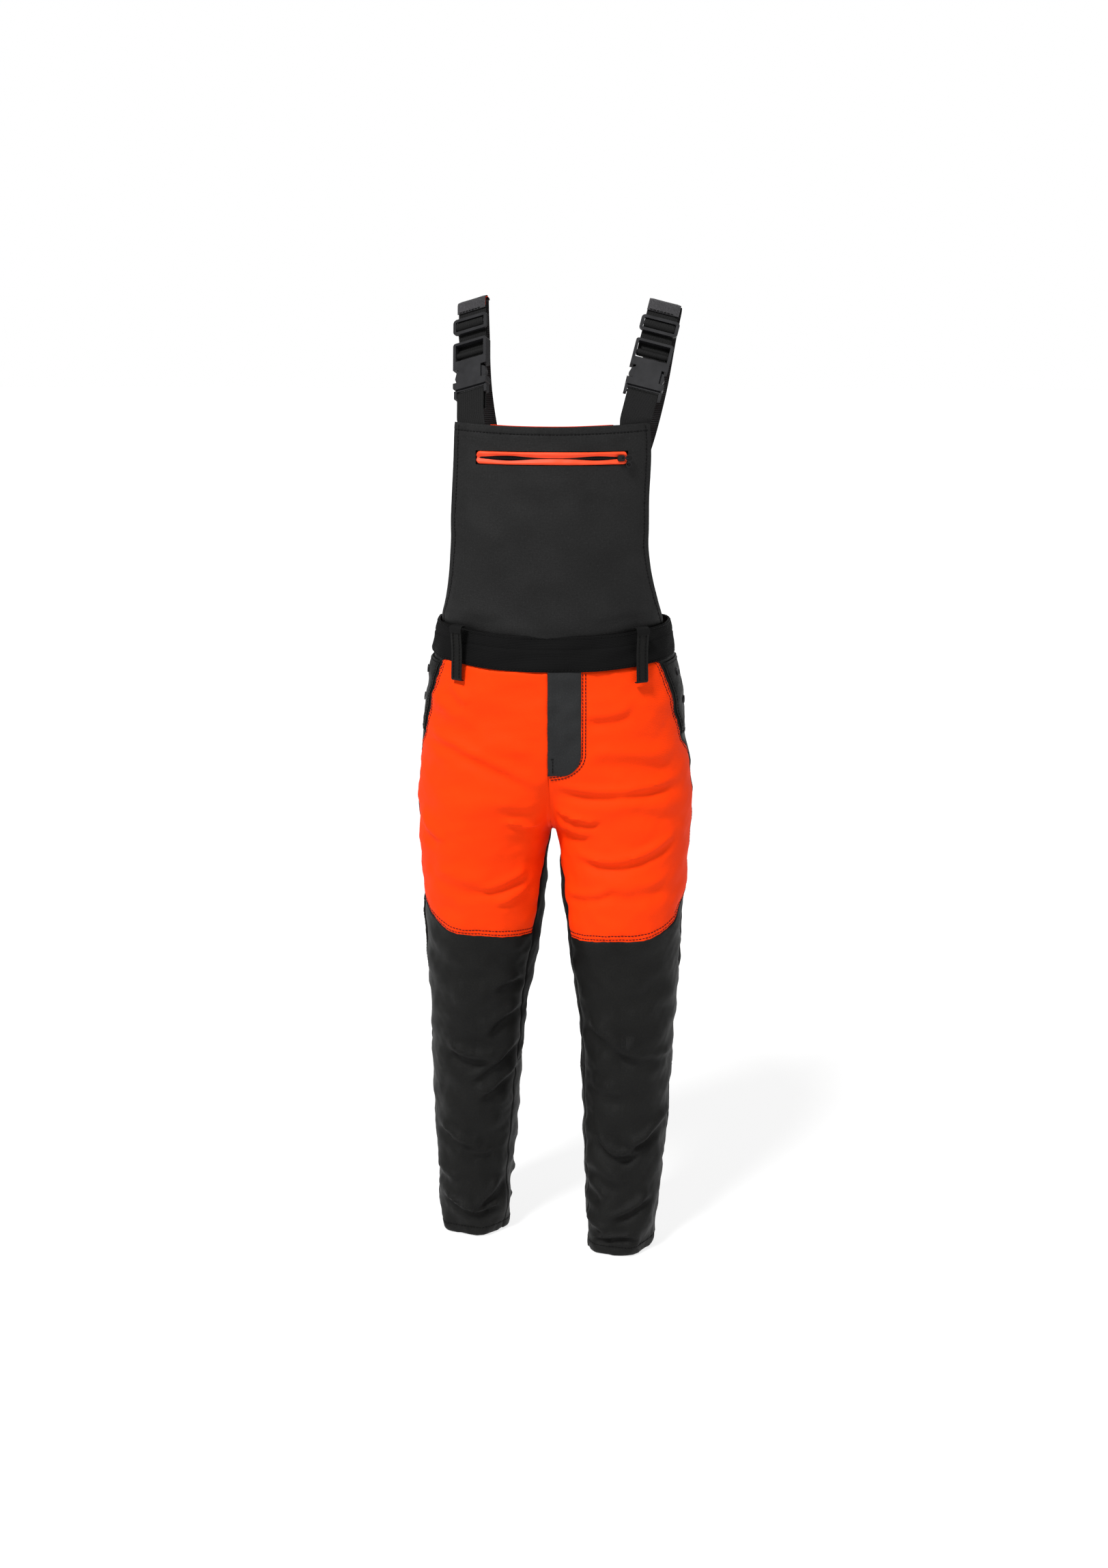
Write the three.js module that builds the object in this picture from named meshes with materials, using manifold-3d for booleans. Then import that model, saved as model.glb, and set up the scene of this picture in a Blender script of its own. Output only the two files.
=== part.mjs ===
// Chainsaw bib-and-brace trousers, in their worn shape and standing on their hems.
// Millimetres, +Z up, the wearer faces -Y, so the wearer's left is +X.
// The fabric is cut from three surfaces: the lower body (two legs that join at the crotch), the bib
// and the back panel. Each panel is a thin closed slab laid on its surface.

import * as THREE from "three";
import { mergeVertices } from "three/addons/utils/BufferGeometryUtils.js";
import Module from "manifold-3d";

const wasm = await Module();
wasm.setup();

// ---------------------------------------------------------------- driving dimensions
const CROTCH_Z = 690;
const TROUSER_TOP_Z = 960;
const BAND_HEIGHT = 51;
const WAIST_TOP_Z = TROUSER_TOP_Z + BAND_HEIGHT + 0.4;
const WAIST_RISE = 12; // the waist is this much higher at the sides than at the front and back
const RISE_FOOT_Z = 800; // the trousers start to rise here
const BIB_TOP_Z = 1322;
const FRAME_SHIFT_Y = -0.6; // puts the origin under the middle of the bounding box

// Height, centre x, half width, half depth and centre y of one leg; above the crotch, of one half body.
const LEG = [
  [0, 122, 53, 60, 4],
  [60, 122, 60, 67, 6],
  [120, 122, 62, 69, 9],
  [200, 124, 69, 76, 14],
  [300, 122, 75, 82, 14],
  [400, 118, 80, 84, 6],
  [500, 114, 88, 92, 0],
  [600, 109, 99, 104, 2],
  [CROTCH_Z, 107, 107, 116, 6],
  [750, 78, 138, 126, 9],
  [800, 48, 163, 132, 10],
  [850, 26, 177, 134, 8],
  [900, 10, 187, 131, 4],
  [TROUSER_TOP_Z, 0, 184, 126, 0],
];
const SQUARENESS = 2.25; // superellipse exponent of every section
const STANCE_X = 12; // both hems stand this far towards the wearer's right
const STANCE_Y = 27; // the left hem stands this far forward, the right hem as far back
const INSEAM_ANGLE = 155; // degrees from the outer side, where front and back panels meet
const INSEAM_TURN_Z = 600;

const CLOTH = 1.6;
const SEAM_GAP = 0.5; // between panels that are sewn edge to edge
const PAD_THICK = 6;
const WEBBING = 45;
const WEBBING_THICK = 1.8;

const KNEE_SEAM = { outer: 598, middle: 536, inner: 528 };
const POCKET = { bottomZ: 812, cornerZ: 842, topAngle: 30, cornerAngle: 14 };
const ZIP = { z: 1272.5, left: -105, right: 115, slot: 20, lip: 7.4, gap: 1.9 };
const BIB_RADIUS = 280;
const BIB_FRONT_Y = -140;

// ---------------------------------------------------------------- small helpers
const deg = THREE.MathUtils.degToRad;
const lerp = THREE.MathUtils.lerp;
const smooth = THREE.MathUtils.smoothstep;

// A smooth curve through column c of a table whose first column is height.
function along(table, c, z) {
  let i = table.findIndex((row) => z < row[0]) - 1;
  if (i === -2) i = table.length - 2;
  i = Math.max(i, 0);
  const slope = (k) => {
    const a = table[Math.max(k - 1, 0)];
    const b = table[Math.min(k + 1, table.length - 1)];
    return (b[c] - a[c]) / (b[0] - a[0]);
  };
  const h = table[i + 1][0] - table[i][0];
  const t = (z - table[i][0]) / h;
  return (
    table[i][c] * (1 + 2 * t) * (1 - t) ** 2 +
    slope(i) * h * t * (1 - t) ** 2 +
    table[i + 1][c] * t * t * (3 - 2 * t) +
    slope(i + 1) * h * t * t * (t - 1)
  );
}

function signedVolume(position, index) {
  const [a, b, c] = [new THREE.Vector3(), new THREE.Vector3(), new THREE.Vector3()];
  let sum = 0;
  for (let i = 0; i < index.length; i += 3) {
    a.fromArray(position, 3 * index[i]);
    b.fromArray(position, 3 * index[i + 1]);
    c.fromArray(position, 3 * index[i + 2]);
    sum += a.dot(b.cross(c)) / 6;
  }
  return sum;
}

function geometryOf(position, index) {
  if (signedVolume(position, index) < 0) index.reverse();
  const g = new THREE.BufferGeometry();
  g.setAttribute("position", new THREE.Float32BufferAttribute(position, 3));
  g.setIndex(index);
  return g;
}

// A closed slab between two grids: point(u, v, layer) with layer 0 outside and 1 inside.
// With ring set, u runs all the way round and the slab is a tube.
function slab(nu, nv, point, ring = false) {
  const position = [];
  const index = [];
  const across = ring ? nu : nu + 1;
  const id = (i, j, layer) => (layer * (nv + 1) + j) * across + (ring ? i % nu : i);
  for (let layer = 0; layer < 2; layer++)
    for (let j = 0; j <= nv; j++)
      for (let i = 0; i < across; i++) position.push(...point(i / nu, j / nv, layer));
  const quad = (a, b, c, d) => index.push(a, b, c, a, c, d);
  for (let j = 0; j < nv; j++)
    for (let i = 0; i < nu; i++) {
      quad(id(i, j, 0), id(i + 1, j, 0), id(i + 1, j + 1, 0), id(i, j + 1, 0));
      quad(id(i, j, 1), id(i, j + 1, 1), id(i + 1, j + 1, 1), id(i + 1, j, 1));
    }
  for (let i = 0; i < nu; i++) {
    quad(id(i, 0, 0), id(i, 0, 1), id(i + 1, 0, 1), id(i + 1, 0, 0));
    quad(id(i, nv, 0), id(i + 1, nv, 0), id(i + 1, nv, 1), id(i, nv, 1));
  }
  if (!ring)
    for (let j = 0; j < nv; j++) {
      quad(id(0, j, 0), id(0, j + 1, 0), id(0, j + 1, 1), id(0, j, 1));
      quad(id(nu, j, 0), id(nu, j, 1), id(nu, j + 1, 1), id(nu, j + 1, 0));
    }
  return geometryOf(position, index);
}

// A flat outline in (x, y) pushed to a depth in z, as a closed geometry with merged corners.
function plate(outline, depth, holes = []) {
  const shape = outline instanceof THREE.Shape ? outline : new THREE.Shape(outline);
  shape.holes.push(...holes);
  const g = new THREE.ExtrudeGeometry(shape, { depth, bevelEnabled: false, curveSegments: 4 });
  g.translate(0, 0, -depth / 2);
  return g;
}

function roundedRect(w, h, r, shape = new THREE.Shape()) {
  const [x, y] = [w / 2, h / 2];
  shape.moveTo(-x + r, -y);
  shape.lineTo(x - r, -y);
  shape.absarc(x - r, -y + r, r, -Math.PI / 2, 0);
  shape.absarc(x - r, y - r, r, 0, Math.PI / 2);
  shape.absarc(-x + r, y - r, r, Math.PI / 2, Math.PI);
  shape.absarc(-x + r, -y + r, r, Math.PI, 1.5 * Math.PI);
  return shape;
}

const box = (x, y, z, cx = 0, cy = 0, cz = 0) => new THREE.BoxGeometry(x, y, z).translate(cx, cy, cz);

function solid(geometry) {
  const bare = geometry.clone();
  bare.deleteAttribute("normal");
  bare.deleteAttribute("uv");
  const merged = mergeVertices(bare, 1e-4);
  return new wasm.Manifold(
    new wasm.Mesh({
      numProp: 3,
      vertProperties: new Float32Array(merged.attributes.position.array),
      triVerts: new Uint32Array(merged.index.array),
    }),
  );
}

function geometryFrom(manifold) {
  const mesh = manifold.getMesh();
  const g = new THREE.BufferGeometry();
  g.setAttribute("position", new THREE.BufferAttribute(new Float32Array(mesh.vertProperties), 3));
  g.setIndex(new THREE.BufferAttribute(new Uint32Array(mesh.triVerts), 1));
  return g;
}

const joined = (...parts) => geometryFrom(parts.map(solid).reduce((a, b) => a.add(b)));
const cut = (body, ...tools) => geometryFrom(tools.map(solid).reduce((a, b) => a.subtract(b), solid(body)));

// ---------------------------------------------------------------- materials
const COLOURS = {
  orange: [0xff4a12, 0.8],
  charcoal: [0x2b2c2b, 0.85],
  black: [0x121212, 0.9],
  elastic: [0x0c0c0c, 0.85],
  lining: [0x1d1f24, 0.9],
  pad: [0xd9d2bd, 0.95],
  webbing: [0x1c1c1d, 0.75],
  plastic: [0x303036, 0.45],
  zip: [0x101010, 0.4],
};
const MATERIALS = Object.fromEntries(
  Object.entries(COLOURS).map(([name, [color, roughness]]) => [
    name,
    new THREE.MeshStandardMaterial({ color, roughness, metalness: 0, name }),
  ]),
);

const garment = new THREE.Group();
garment.position.y = FRAME_SHIFT_Y;

function add(name, geometry, material, parent = garment) {
  const mesh = new THREE.Mesh(geometry, MATERIALS[material]);
  mesh.name = name;
  parent.add(mesh);
  return mesh;
}

// ---------------------------------------------------------------- lower body surface
// The angle runs from the outer side (0) over the front (90) to the inner side (180) and on round the back.
// side is +1 for the wearer's left leg; outward moves the surface off its own line.
function bodyPoint(side, angle, z, outward) {
  const [cx, a, b, cy] = [1, 2, 3, 4].map((c) => along(LEG, c, z));
  const [cos, sin] = [Math.cos(deg(angle)), Math.sin(deg(angle))];
  const bend = (v) => Math.sign(v) * Math.abs(v) ** (2 / SQUARENESS);
  const nearCentre = SEAM_GAP / 2;
  const x = Math.max(nearCentre, cx + (a + outward) * bend(cos));
  const low = Math.max(0, 1 - z / 500);
  const stanceY = STANCE_Y * Math.max(0, 1 - z / CROTCH_Z);
  const rise = WAIST_RISE * smooth(z, RISE_FOOT_Z, TROUSER_TOP_Z) * cos ** 2;
  return [side * x - STANCE_X * low, cy - (b + outward) * bend(sin) - side * stanceY, z + rise];
}

// The angle of the inner edge of the front half: the centre line, then the inseam below the crotch.
function innerAngle(z) {
  if (z <= CROTCH_Z) return lerp(INSEAM_ANGLE, 180, smooth(z, INSEAM_TURN_Z, CROTCH_Z));
  const ratio = Math.min(1, along(LEG, 1, z) / along(LEG, 2, z));
  return THREE.MathUtils.radToDeg(Math.acos(-(ratio ** (SQUARENESS / 2))));
}

const backStartAngle = (z) => (z <= CROTCH_Z ? innerAngle(z) : 360 - innerAngle(z));

// The outer edge of the front panel: the slanted pocket mouth, then the side seam.
function outerAngle(z) {
  const { bottomZ, cornerZ, cornerAngle, topAngle } = POCKET;
  if (z > cornerZ) return lerp(cornerAngle, topAngle, (z - cornerZ) / (TROUSER_TOP_Z - cornerZ));
  return Math.max(0, (cornerAngle * (z - bottomZ)) / (cornerZ - bottomZ));
}

// Height of the seam between thigh and shin panels, u from the inseam to the side seam.
function kneeSeam(u) {
  const rise = KNEE_SEAM.outer - KNEE_SEAM.middle;
  return KNEE_SEAM.middle + rise * Math.max(0, (u - 0.45) / 0.55) ** 2 - 8 * Math.max(0, 1 - u / 0.4);
}

// A point of the front half: u from the inner edge to the outer edge, z its height.
function frontPoint(side, u, z, outward, trim = 0) {
  const [inner, outer] = [innerAngle(z) - trim, outerAngle(z) + trim];
  return bodyPoint(side, lerp(inner, outer, u), z, outward);
}

const SIDES = [
  { side: 1, name: "left" },
  { side: -1, name: "right" },
];
const EDGE_TRIM = 0.45; // degrees, half the seam gap at the side seam
const FRONT_COLUMNS = 8;

// The panels share these heights above the knee, so that neighbours bend along the same lines.
const TROUSER_EDGE_Z = TROUSER_TOP_Z - SEAM_GAP;
const UPPER_ROWS = [615, 640, 665, 690, 735, 775, POCKET.bottomZ, POCKET.cornerZ, 880, 920, TROUSER_EDGE_Z];
const FACING_ROWS = [POCKET.bottomZ + 5, ...UPPER_ROWS.slice(-4)];
const LOWER_ROWS = [60, 150, 240, 320, 400, 480, 540];

// A panel of the front half between two fractions of its width; each row is a height or a curve over u.
function frontPanel(side, u0, u1, columns, rows, outer, inner) {
  return slab(columns, rows.length - 1, (u, v, layer) => {
    const across = lerp(u0, u1, u);
    const row = rows[Math.round(v * (rows.length - 1))];
    const z = typeof row === "function" ? row(across) : row;
    return frontPoint(side, across, z, layer ? inner : outer, EDGE_TRIM);
  });
}

function backPanel(side, columns, outer, inner) {
  const rows = [0, ...LOWER_ROWS, ...UPPER_ROWS];
  return slab(columns, rows.length - 1, (u, v, layer) => {
    const z = rows[Math.round(v * (rows.length - 1))];
    const angle = lerp(backStartAngle(z) + EDGE_TRIM, 360 - EDGE_TRIM, u);
    return bodyPoint(side, angle, z, layer ? inner : outer);
  });
}

// A patch of cloth laid on the lower body between two angles and two heights.
function bodyPatch(side, angles, heights, columns, rows, outer, inner) {
  return slab(columns, rows, (u, v, layer) => {
    const z = lerp(heights[0], heights[1], v);
    const [a0, a1] = [angles[0], angles[1]].map((a) => (typeof a === "function" ? a(z) : a));
    return bodyPoint(side, lerp(a0, a1, u), z, layer ? inner : outer);
  });
}

const PAD_OUT = -CLOTH - 1.2;
const LINING_OUT = PAD_OUT - PAD_THICK - 2.4;
const SHIN_ROWS = [0, 60, ...Array.from({ length: 7 }, (_, i) => (u) => lerp(60, kneeSeam(u), (i + 1) / 7))];
const THIGH_ROWS = [(u) => kneeSeam(u) + SEAM_GAP, ...UPPER_ROWS];
const PAD_ROWS = [...LOWER_ROWS, ...UPPER_ROWS.slice(0, -2), 900];
for (const { side, name } of SIDES) {
  add(`${name}_thigh_panel`, frontPanel(side, 0, 1, FRONT_COLUMNS, THIGH_ROWS, 0, -CLOTH), "orange");
  add(`${name}_shin_panel`, frontPanel(side, 0, 1, FRONT_COLUMNS, SHIN_ROWS, 0, -CLOTH), "charcoal");
  add(`${name}_back_leg_panel`, backPanel(side, 10, 0, -CLOTH), "charcoal");
  add(
    `${name}_cut_insert`,
    frontPanel(side, 1 / 8, 7 / 8, 6, PAD_ROWS, PAD_OUT, PAD_OUT - PAD_THICK),
    "pad",
  );
  add(
    `${name}_leg_lining`,
    slab(
      16,
      10,
      (u, v, layer) => bodyPoint(side, 360 * u, lerp(30, 640, v), LINING_OUT - layer),
      true,
    ),
    "lining",
  );
  add(
    `${name}_pocket_facing`,
    slab(3, FACING_ROWS.length - 1, (u, v, layer) => {
      const z = FACING_ROWS[Math.round(v * (FACING_ROWS.length - 1))];
      return bodyPoint(side, lerp(outerAngle(z) - EDGE_TRIM, EDGE_TRIM, u), z, layer ? -CLOTH : 0);
    }),
    "charcoal",
  );
  add(
    `${name}_pocket_bag`,
    bodyPatch(side, [62, 12], [770, 945], 5, 7, LINING_OUT - 2, LINING_OUT - 5),
    "lining",
  );
}

// ---------------------------------------------------------------- fly
const FLY = { width: 47, bottomZ: 800, corner: 34 };
const FLY_OUT = 2.9;
add(
  "fly_flap",
  slab(4, 6, (u, v, layer) => {
    const z = lerp(FLY.bottomZ, TROUSER_EDGE_Z, v);
    const fromCorner = Math.max(0, FLY.corner - (z - FLY.bottomZ));
    const inset = FLY.corner - Math.sqrt(FLY.corner ** 2 - fromCorner ** 2);
    const x = 0.5 + u * (FLY.width - inset * 0.9);
    const half = along(LEG, 2, z);
    const reach = (x - along(LEG, 1, z)) / half;
    const angle = THREE.MathUtils.radToDeg(
      Math.acos(Math.sign(reach) * Math.abs(reach) ** (SQUARENESS / 2)),
    );
    const [, y] = bodyPoint(1, angle, z, layer ? 1.3 : FLY_OUT);
    return [x, y, z];
  }),
  "charcoal",
);
const FLY_ZIP = { top: 950, bottom: 815, y: -112, chain: 6 };
add(
  "fly_zip_chain",
  box(FLY_ZIP.chain, 1.4, FLY_ZIP.top - FLY_ZIP.bottom, 0, FLY_ZIP.y, (FLY_ZIP.top + FLY_ZIP.bottom) / 2),
  "zip",
);
add(
  "fly_zip_slider",
  joined(
    box(10, 2.6, 13, 0, FLY_ZIP.y - 2.4, FLY_ZIP.top - 9),
    box(4, 1.6, 24, 0, FLY_ZIP.y - 4.2, FLY_ZIP.top - 22),
  ),
  "zip",
);

// ---------------------------------------------------------------- waistband, side plackets and belt loops
const BAND_THICK = 3;
const BAND_TOP_HALF = [176, 119]; // half width and half depth at the top edge
function bandPoint(angle, z, outward) {
  const t = (z - TROUSER_TOP_Z) / (WAIST_TOP_Z - TROUSER_TOP_Z);
  const a = lerp(along(LEG, 2, TROUSER_TOP_Z), BAND_TOP_HALF[0], t) + outward;
  const b = lerp(along(LEG, 3, TROUSER_TOP_Z), BAND_TOP_HALF[1], t) + outward;
  const bend = (v) => Math.sign(v) * Math.abs(v) ** (2 / SQUARENESS);
  const rise = WAIST_RISE * Math.cos(deg(angle)) ** 2;
  return [a * bend(Math.cos(deg(angle))), -b * bend(Math.sin(deg(angle))), z + rise];
}
// How far the top of the band has risen at a distance x from the centre line.
const bandRise = (x) => WAIST_RISE * Math.min(1, Math.abs(x) / BAND_TOP_HALF[0]) ** SQUARENESS;

function band(from, to, columns) {
  return slab(columns, 2, (u, v, layer) => {
    const z = lerp(TROUSER_TOP_Z, WAIST_TOP_Z - 0.4, v);
    return bandPoint(lerp(from, to, u), z, layer ? 1 - BAND_THICK : 1);
  });
}
add("front_waistband", band(-8, 188, 18), "elastic");
add("back_waistband", band(188.5, 351.5, 16), "elastic");

const PLACKET = { front: 20, back: -8, top: 954, bottom: 846, gap: 3 };
const SNAP_RADIUS = 6.2;
const SNAPS = [
  { name: "upper", angle: 10, z: 934 },
  { name: "lower", angle: 5, z: 892 },
];
// A group whose +Z is the outward normal of the lower body at an angle and height.
function onBody(side, angle, z, outward) {
  const at = (a, h) => new THREE.Vector3(...bodyPoint(side, a, h, outward));
  const across = at(angle + 1, z).sub(at(angle - 1, z));
  const up = at(angle, z + 4).sub(at(angle, z - 4));
  const normal = across.cross(up).normalize();
  if (normal.x * side < 0) normal.negate();
  const group = new THREE.Group();
  group.position.copy(at(angle, z));
  group.quaternion.setFromUnitVectors(new THREE.Vector3(0, 0, 1), normal);
  garment.add(group);
  return group;
}
const disc = (radius, height, dome) =>
  new THREE.LatheGeometry(
    [
      new THREE.Vector2(0, 0),
      new THREE.Vector2(radius, 0),
      new THREE.Vector2(radius, height - dome),
      new THREE.Vector2(radius * 0.72, height),
      new THREE.Vector2(0, height),
    ],
    16,
  ).rotateX(Math.PI / 2);
for (const { side, name } of SIDES) {
  add(
    `${name}_placket`,
    bodyPatch(
      side,
      [PLACKET.front, PLACKET.back],
      [PLACKET.bottom, PLACKET.top],
      4,
      5,
      PLACKET.gap + CLOTH,
      PLACKET.gap,
    ),
    "charcoal",
  );
  for (const snap of SNAPS) {
    const outer = onBody(side, snap.angle, snap.z, PLACKET.gap + CLOTH + 0.5);
    add(`${name}_snap_cap_${snap.name}`, disc(SNAP_RADIUS, 1.6, 0.8), "zip", outer);
    const inner = onBody(side, snap.angle, snap.z, 0.5);
    add(`${name}_snap_stud_${snap.name}`, disc(SNAP_RADIUS * 0.62, 1.7, 0.5), "zip", inner);
  }
}

// A belt loop: a U-shaped strip that stands off the waistband, sewn above and below it.
const LOOP = { width: 20, gap: 8, top: WAIST_TOP_Z + 2, bottom: 938, thick: 2 };
const LOOPS = [
  { name: "front_left_belt_loop", angle: 46, off: 2.4 },
  { name: "front_right_belt_loop", angle: 134, off: 2.4 },
  { name: "back_right_belt_loop", angle: 228, off: 3.8 },
  { name: "back_left_belt_loop", angle: 312, off: 3.8 },
];
function beltLoop(name, angle, off) {
  const at = (a) => new THREE.Vector3(...bandPoint(a, (LOOP.top + LOOP.bottom) / 2, 1.6));
  const tangent = at(angle + 1).sub(at(angle - 1)).setZ(0).normalize();
  const outward = new THREE.Vector3(tangent.y, -tangent.x, 0);
  if (outward.dot(at(angle)) < 0) outward.negate();
  const foot = at(angle);
  foot.addScaledVector(outward, off);
  const half = (LOOP.top - LOOP.bottom) / 2;
  const [g, t] = [LOOP.gap, LOOP.thick];
  const strip = new THREE.Shape([
    new THREE.Vector2(-3, half + 3),
    new THREE.Vector2(g + t - 1.5, half + 3),
    new THREE.Vector2(g + t, half + 1),
    new THREE.Vector2(g + t, -half - 1),
    new THREE.Vector2(g + t - 1.5, -half - 3),
    new THREE.Vector2(3, -half - 3),
    new THREE.Vector2(3, -half - 0.8),
    new THREE.Vector2(g, -half + 2),
    new THREE.Vector2(g, half - 1),
    new THREE.Vector2(g - 1.5, half + 0.8),
    new THREE.Vector2(-3, half + 0.8),
  ]);
  const g3 = plate(strip, LOOP.width);
  const basis = new THREE.Matrix4().makeBasis(
    outward,
    new THREE.Vector3(0, 0, 1),
    new THREE.Vector3().crossVectors(outward, new THREE.Vector3(0, 0, 1)),
  );
  const mesh = add(name, g3, "charcoal");
  mesh.quaternion.setFromRotationMatrix(basis);
  mesh.position.copy(foot);
}
for (const loop of LOOPS) beltLoop(loop.name, loop.angle, loop.off);

add(
  "rule_pocket",
  bodyPatch(-1, [6, -58], [452, 580], 6, 5, 4.2, 1.8),
  "charcoal",
);

// ---------------------------------------------------------------- bib
const BIB_EDGE = [
  // height, half width
  [WAIST_TOP_Z, 170],
  [1050, 160],
  [1100, 151],
  [1150, 146.5],
  [1200, 145],
  [1250, 144.5],
  [BIB_TOP_Z, 142],
];
const BIB_LEAN = 5; // the bib's top edge sits this far towards the wearer's left
const bibCentre = (z) => BIB_LEAN * smooth(z, 1150, BIB_TOP_Z);
const BIB_BLEND_Z = 1195; // above this the bib is a true vertical cylinder
function bibY(x, z) {
  const waist = -BAND_TOP_HALF[1] * Math.sqrt(1 - Math.min(1, x / 176) ** 2) - 1;
  const chest = BIB_FRONT_Y + BIB_RADIUS - Math.sqrt(BIB_RADIUS ** 2 - x ** 2);
  return lerp(waist, chest, smooth(z, WAIST_TOP_Z - 25, BIB_BLEND_Z));
}
const bibDip = (u) => 5 * (1 - (2 * u - 1) ** 2); // the top edge sags between the braces
function bibSheet(columns, rows, back, thick, inset, z0, z1) {
  return slab(columns, rows, (u, v, layer) => {
    const level = lerp(z0, z1 - bibDip(u), v);
    const x = bibCentre(level) + (2 * u - 1) * (along(BIB_EDGE, 1, level) - inset);
    const z = level + bandRise(x) * (1 - v) ** 2;
    return [x, bibY(Math.abs(x), z) + back + layer * thick, z];
  });
}
const zipSlot = box(ZIP.right - ZIP.left, 60, ZIP.slot, (ZIP.left + ZIP.right) / 2, BIB_FRONT_Y, ZIP.z);
add("bib_panel", cut(bibSheet(14, 9, 0, CLOTH, 0, WAIST_TOP_Z, BIB_TOP_Z), zipSlot), "charcoal");
const BIB_ROOM = 8.4; // from the front of the bib to its lining
add("bib_lining", bibSheet(14, 9, BIB_ROOM, 1.4, 1.5, WAIST_TOP_Z + 3, BIB_TOP_Z + 1.8), "orange");
add(
  "chest_pocket_bag",
  slab(10, 3, (u, v, layer) => {
    const x = lerp(ZIP.left - 8, ZIP.right + 8, u);
    const z = lerp(1085, 1258, v);
    return [x, bibY(Math.abs(x), z) + 3 + layer * 2.2, z];
  }),
  "lining",
);

// ---------------------------------------------------------------- chest zip, laid on the bib's cylinder
const AXIS_Y = BIB_FRONT_Y + BIB_RADIUS;
function arcStrip(fromX, toX, z0, z1, front, back, columns) {
  return slab(columns, 1, (u, v, layer) => {
    const angle = lerp(Math.asin(fromX / BIB_RADIUS), Math.asin(toX / BIB_RADIUS), u);
    const r = BIB_RADIUS + (layer ? back : front);
    return [r * Math.sin(angle), AXIS_Y - r * Math.cos(angle), ZIP.z + lerp(z0, z1, v)];
  });
}
const [zipLeft, zipRight] = [ZIP.left + 1, ZIP.right - 1];
const lipHeights = [ZIP.gap, ZIP.gap + ZIP.lip];
add("chest_zip_upper_lip", arcStrip(zipLeft, zipRight, ...lipHeights, 1.6, -2, 14), "orange");
add(
  "chest_zip_lower_lip",
  arcStrip(zipLeft, zipRight, -lipHeights[1], -lipHeights[0], 1.6, -2, 14),
  "orange",
);
add("chest_zip_chain", arcStrip(zipLeft, zipRight, -1.4, 1.4, -1, -2.6, 14), "zip");

const SLIDER_X = 104;
const slider = new THREE.Group();
slider.name = "chest_zip_slider_frame";
const sliderAngle = Math.asin(SLIDER_X / BIB_RADIUS);
slider.position.set(
  BIB_RADIUS * Math.sin(sliderAngle),
  AXIS_Y - BIB_RADIUS * Math.cos(sliderAngle),
  ZIP.z,
);
slider.rotation.z = sliderAngle;
garment.add(slider);
add(
  "chest_zip_slider",
  joined(
    plate(roundedRect(11, 8.5, 2.5), 2.4).rotateX(Math.PI / 2).translate(0, -3.4, 0),
    box(2, 3, 2, 3.4, -5.5, 0),
    box(7.4, 1, 2, 6.1, -6.6, 0),
    box(0.9, 2.8, 2, 9.35, -5.7, 0),
  ),
  "zip",
  slider,
);
// The pull is two flat rings in one piece; the big one is threaded on the slider's bail.
const ringShape = (radius, hole, x, y) => {
  const s = new THREE.Shape().absarc(x, y, radius, 0, 2 * Math.PI);
  s.holes.push(new THREE.Path().absarc(x, y, hole, 0, 2 * Math.PI));
  return new THREE.ExtrudeGeometry(s, { depth: 1.3, bevelEnabled: false, curveSegments: 8 });
};
const PULL = { x: 12.2, big: [5.6, 3.9], small: [4.4, 2.9], drop: 9.4 };
add(
  "chest_zip_pull",
  joined(
    ringShape(...PULL.big, PULL.x, 0),
    ringShape(...PULL.small, PULL.x - 1.2, -PULL.drop),
  )
    .rotateX(Math.PI / 2)
    .translate(0, -4.2, 0),
  "zip",
  slider,
);

// ---------------------------------------------------------------- raised back panel
const BACK_TOP_Z = 1188;
const BACK_EDGE = [
  [WAIST_TOP_Z, 150],
  [1060, 118],
  [1110, 99],
  [BACK_TOP_Z, 88],
];
const backY = (x, z) => {
  const waist = BAND_TOP_HALF[1] * Math.sqrt(1 - Math.min(1, x / 176) ** 2) - 1;
  const top = 118 - (x * x) / 520;
  return lerp(waist, top, smooth(z, WAIST_TOP_Z, BACK_TOP_Z));
};
add(
  "back_panel",
  slab(10, 6, (u, v, layer) => {
    const level = lerp(WAIST_TOP_Z, BACK_TOP_Z, v);
    const x = (2 * u - 1) * along(BACK_EDGE, 1, level);
    const z = level + bandRise(x) * (1 - v) ** 2;
    return [x, backY(Math.abs(x), z) - layer * CLOTH, z];
  }),
  "charcoal",
);

// ---------------------------------------------------------------- braces
// Distances run up each brace from the bib's top edge, in the brace's own plane:
// local X across the webbing, local Y away from the viewer of the front, local Z up the brace.
const BRACE = {
  clipFoot: 46,
  clipBar: 51,
  housingFoot: 59,
  plateTop: 104,
  barFoot: 112,
  barTop: 117,
  housingTop: 134,
  glide: 161,
  patchFoot: 184,
  top: 198,
};
const BUCKLE = { width: 56, thick: 13, cavity: 46, window: [70, 91], windowDepth: 9 };
const SLIDER = { width: 57, height: 25, thick: 4, slotMiddle: 4.9, slot: 5.8, y: -3.6 };
// Each brace: its foot behind the bib, its top on the shoulder, its turn about its own length in
// degrees, and its line down the back.
const BRACES = {
  left: {
    foot: [123, -104, 1318],
    top: [164, -3, 1489],
    yaw: 8,
    back: [[166, 22, 1482], [158, 40, 1440], [142, 68, 1350], [118, 96, 1260], [88, 113, 1196]],
  },
  right: {
    foot: [-112, -108, 1318],
    top: [-121, -3, 1497],
    yaw: -26,
    back: [[-119, 22, 1488], [-121, 40, 1445], [-121, 68, 1355], [-108, 96, 1262], [-84, 113, 1196]],
  },
};

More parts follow.
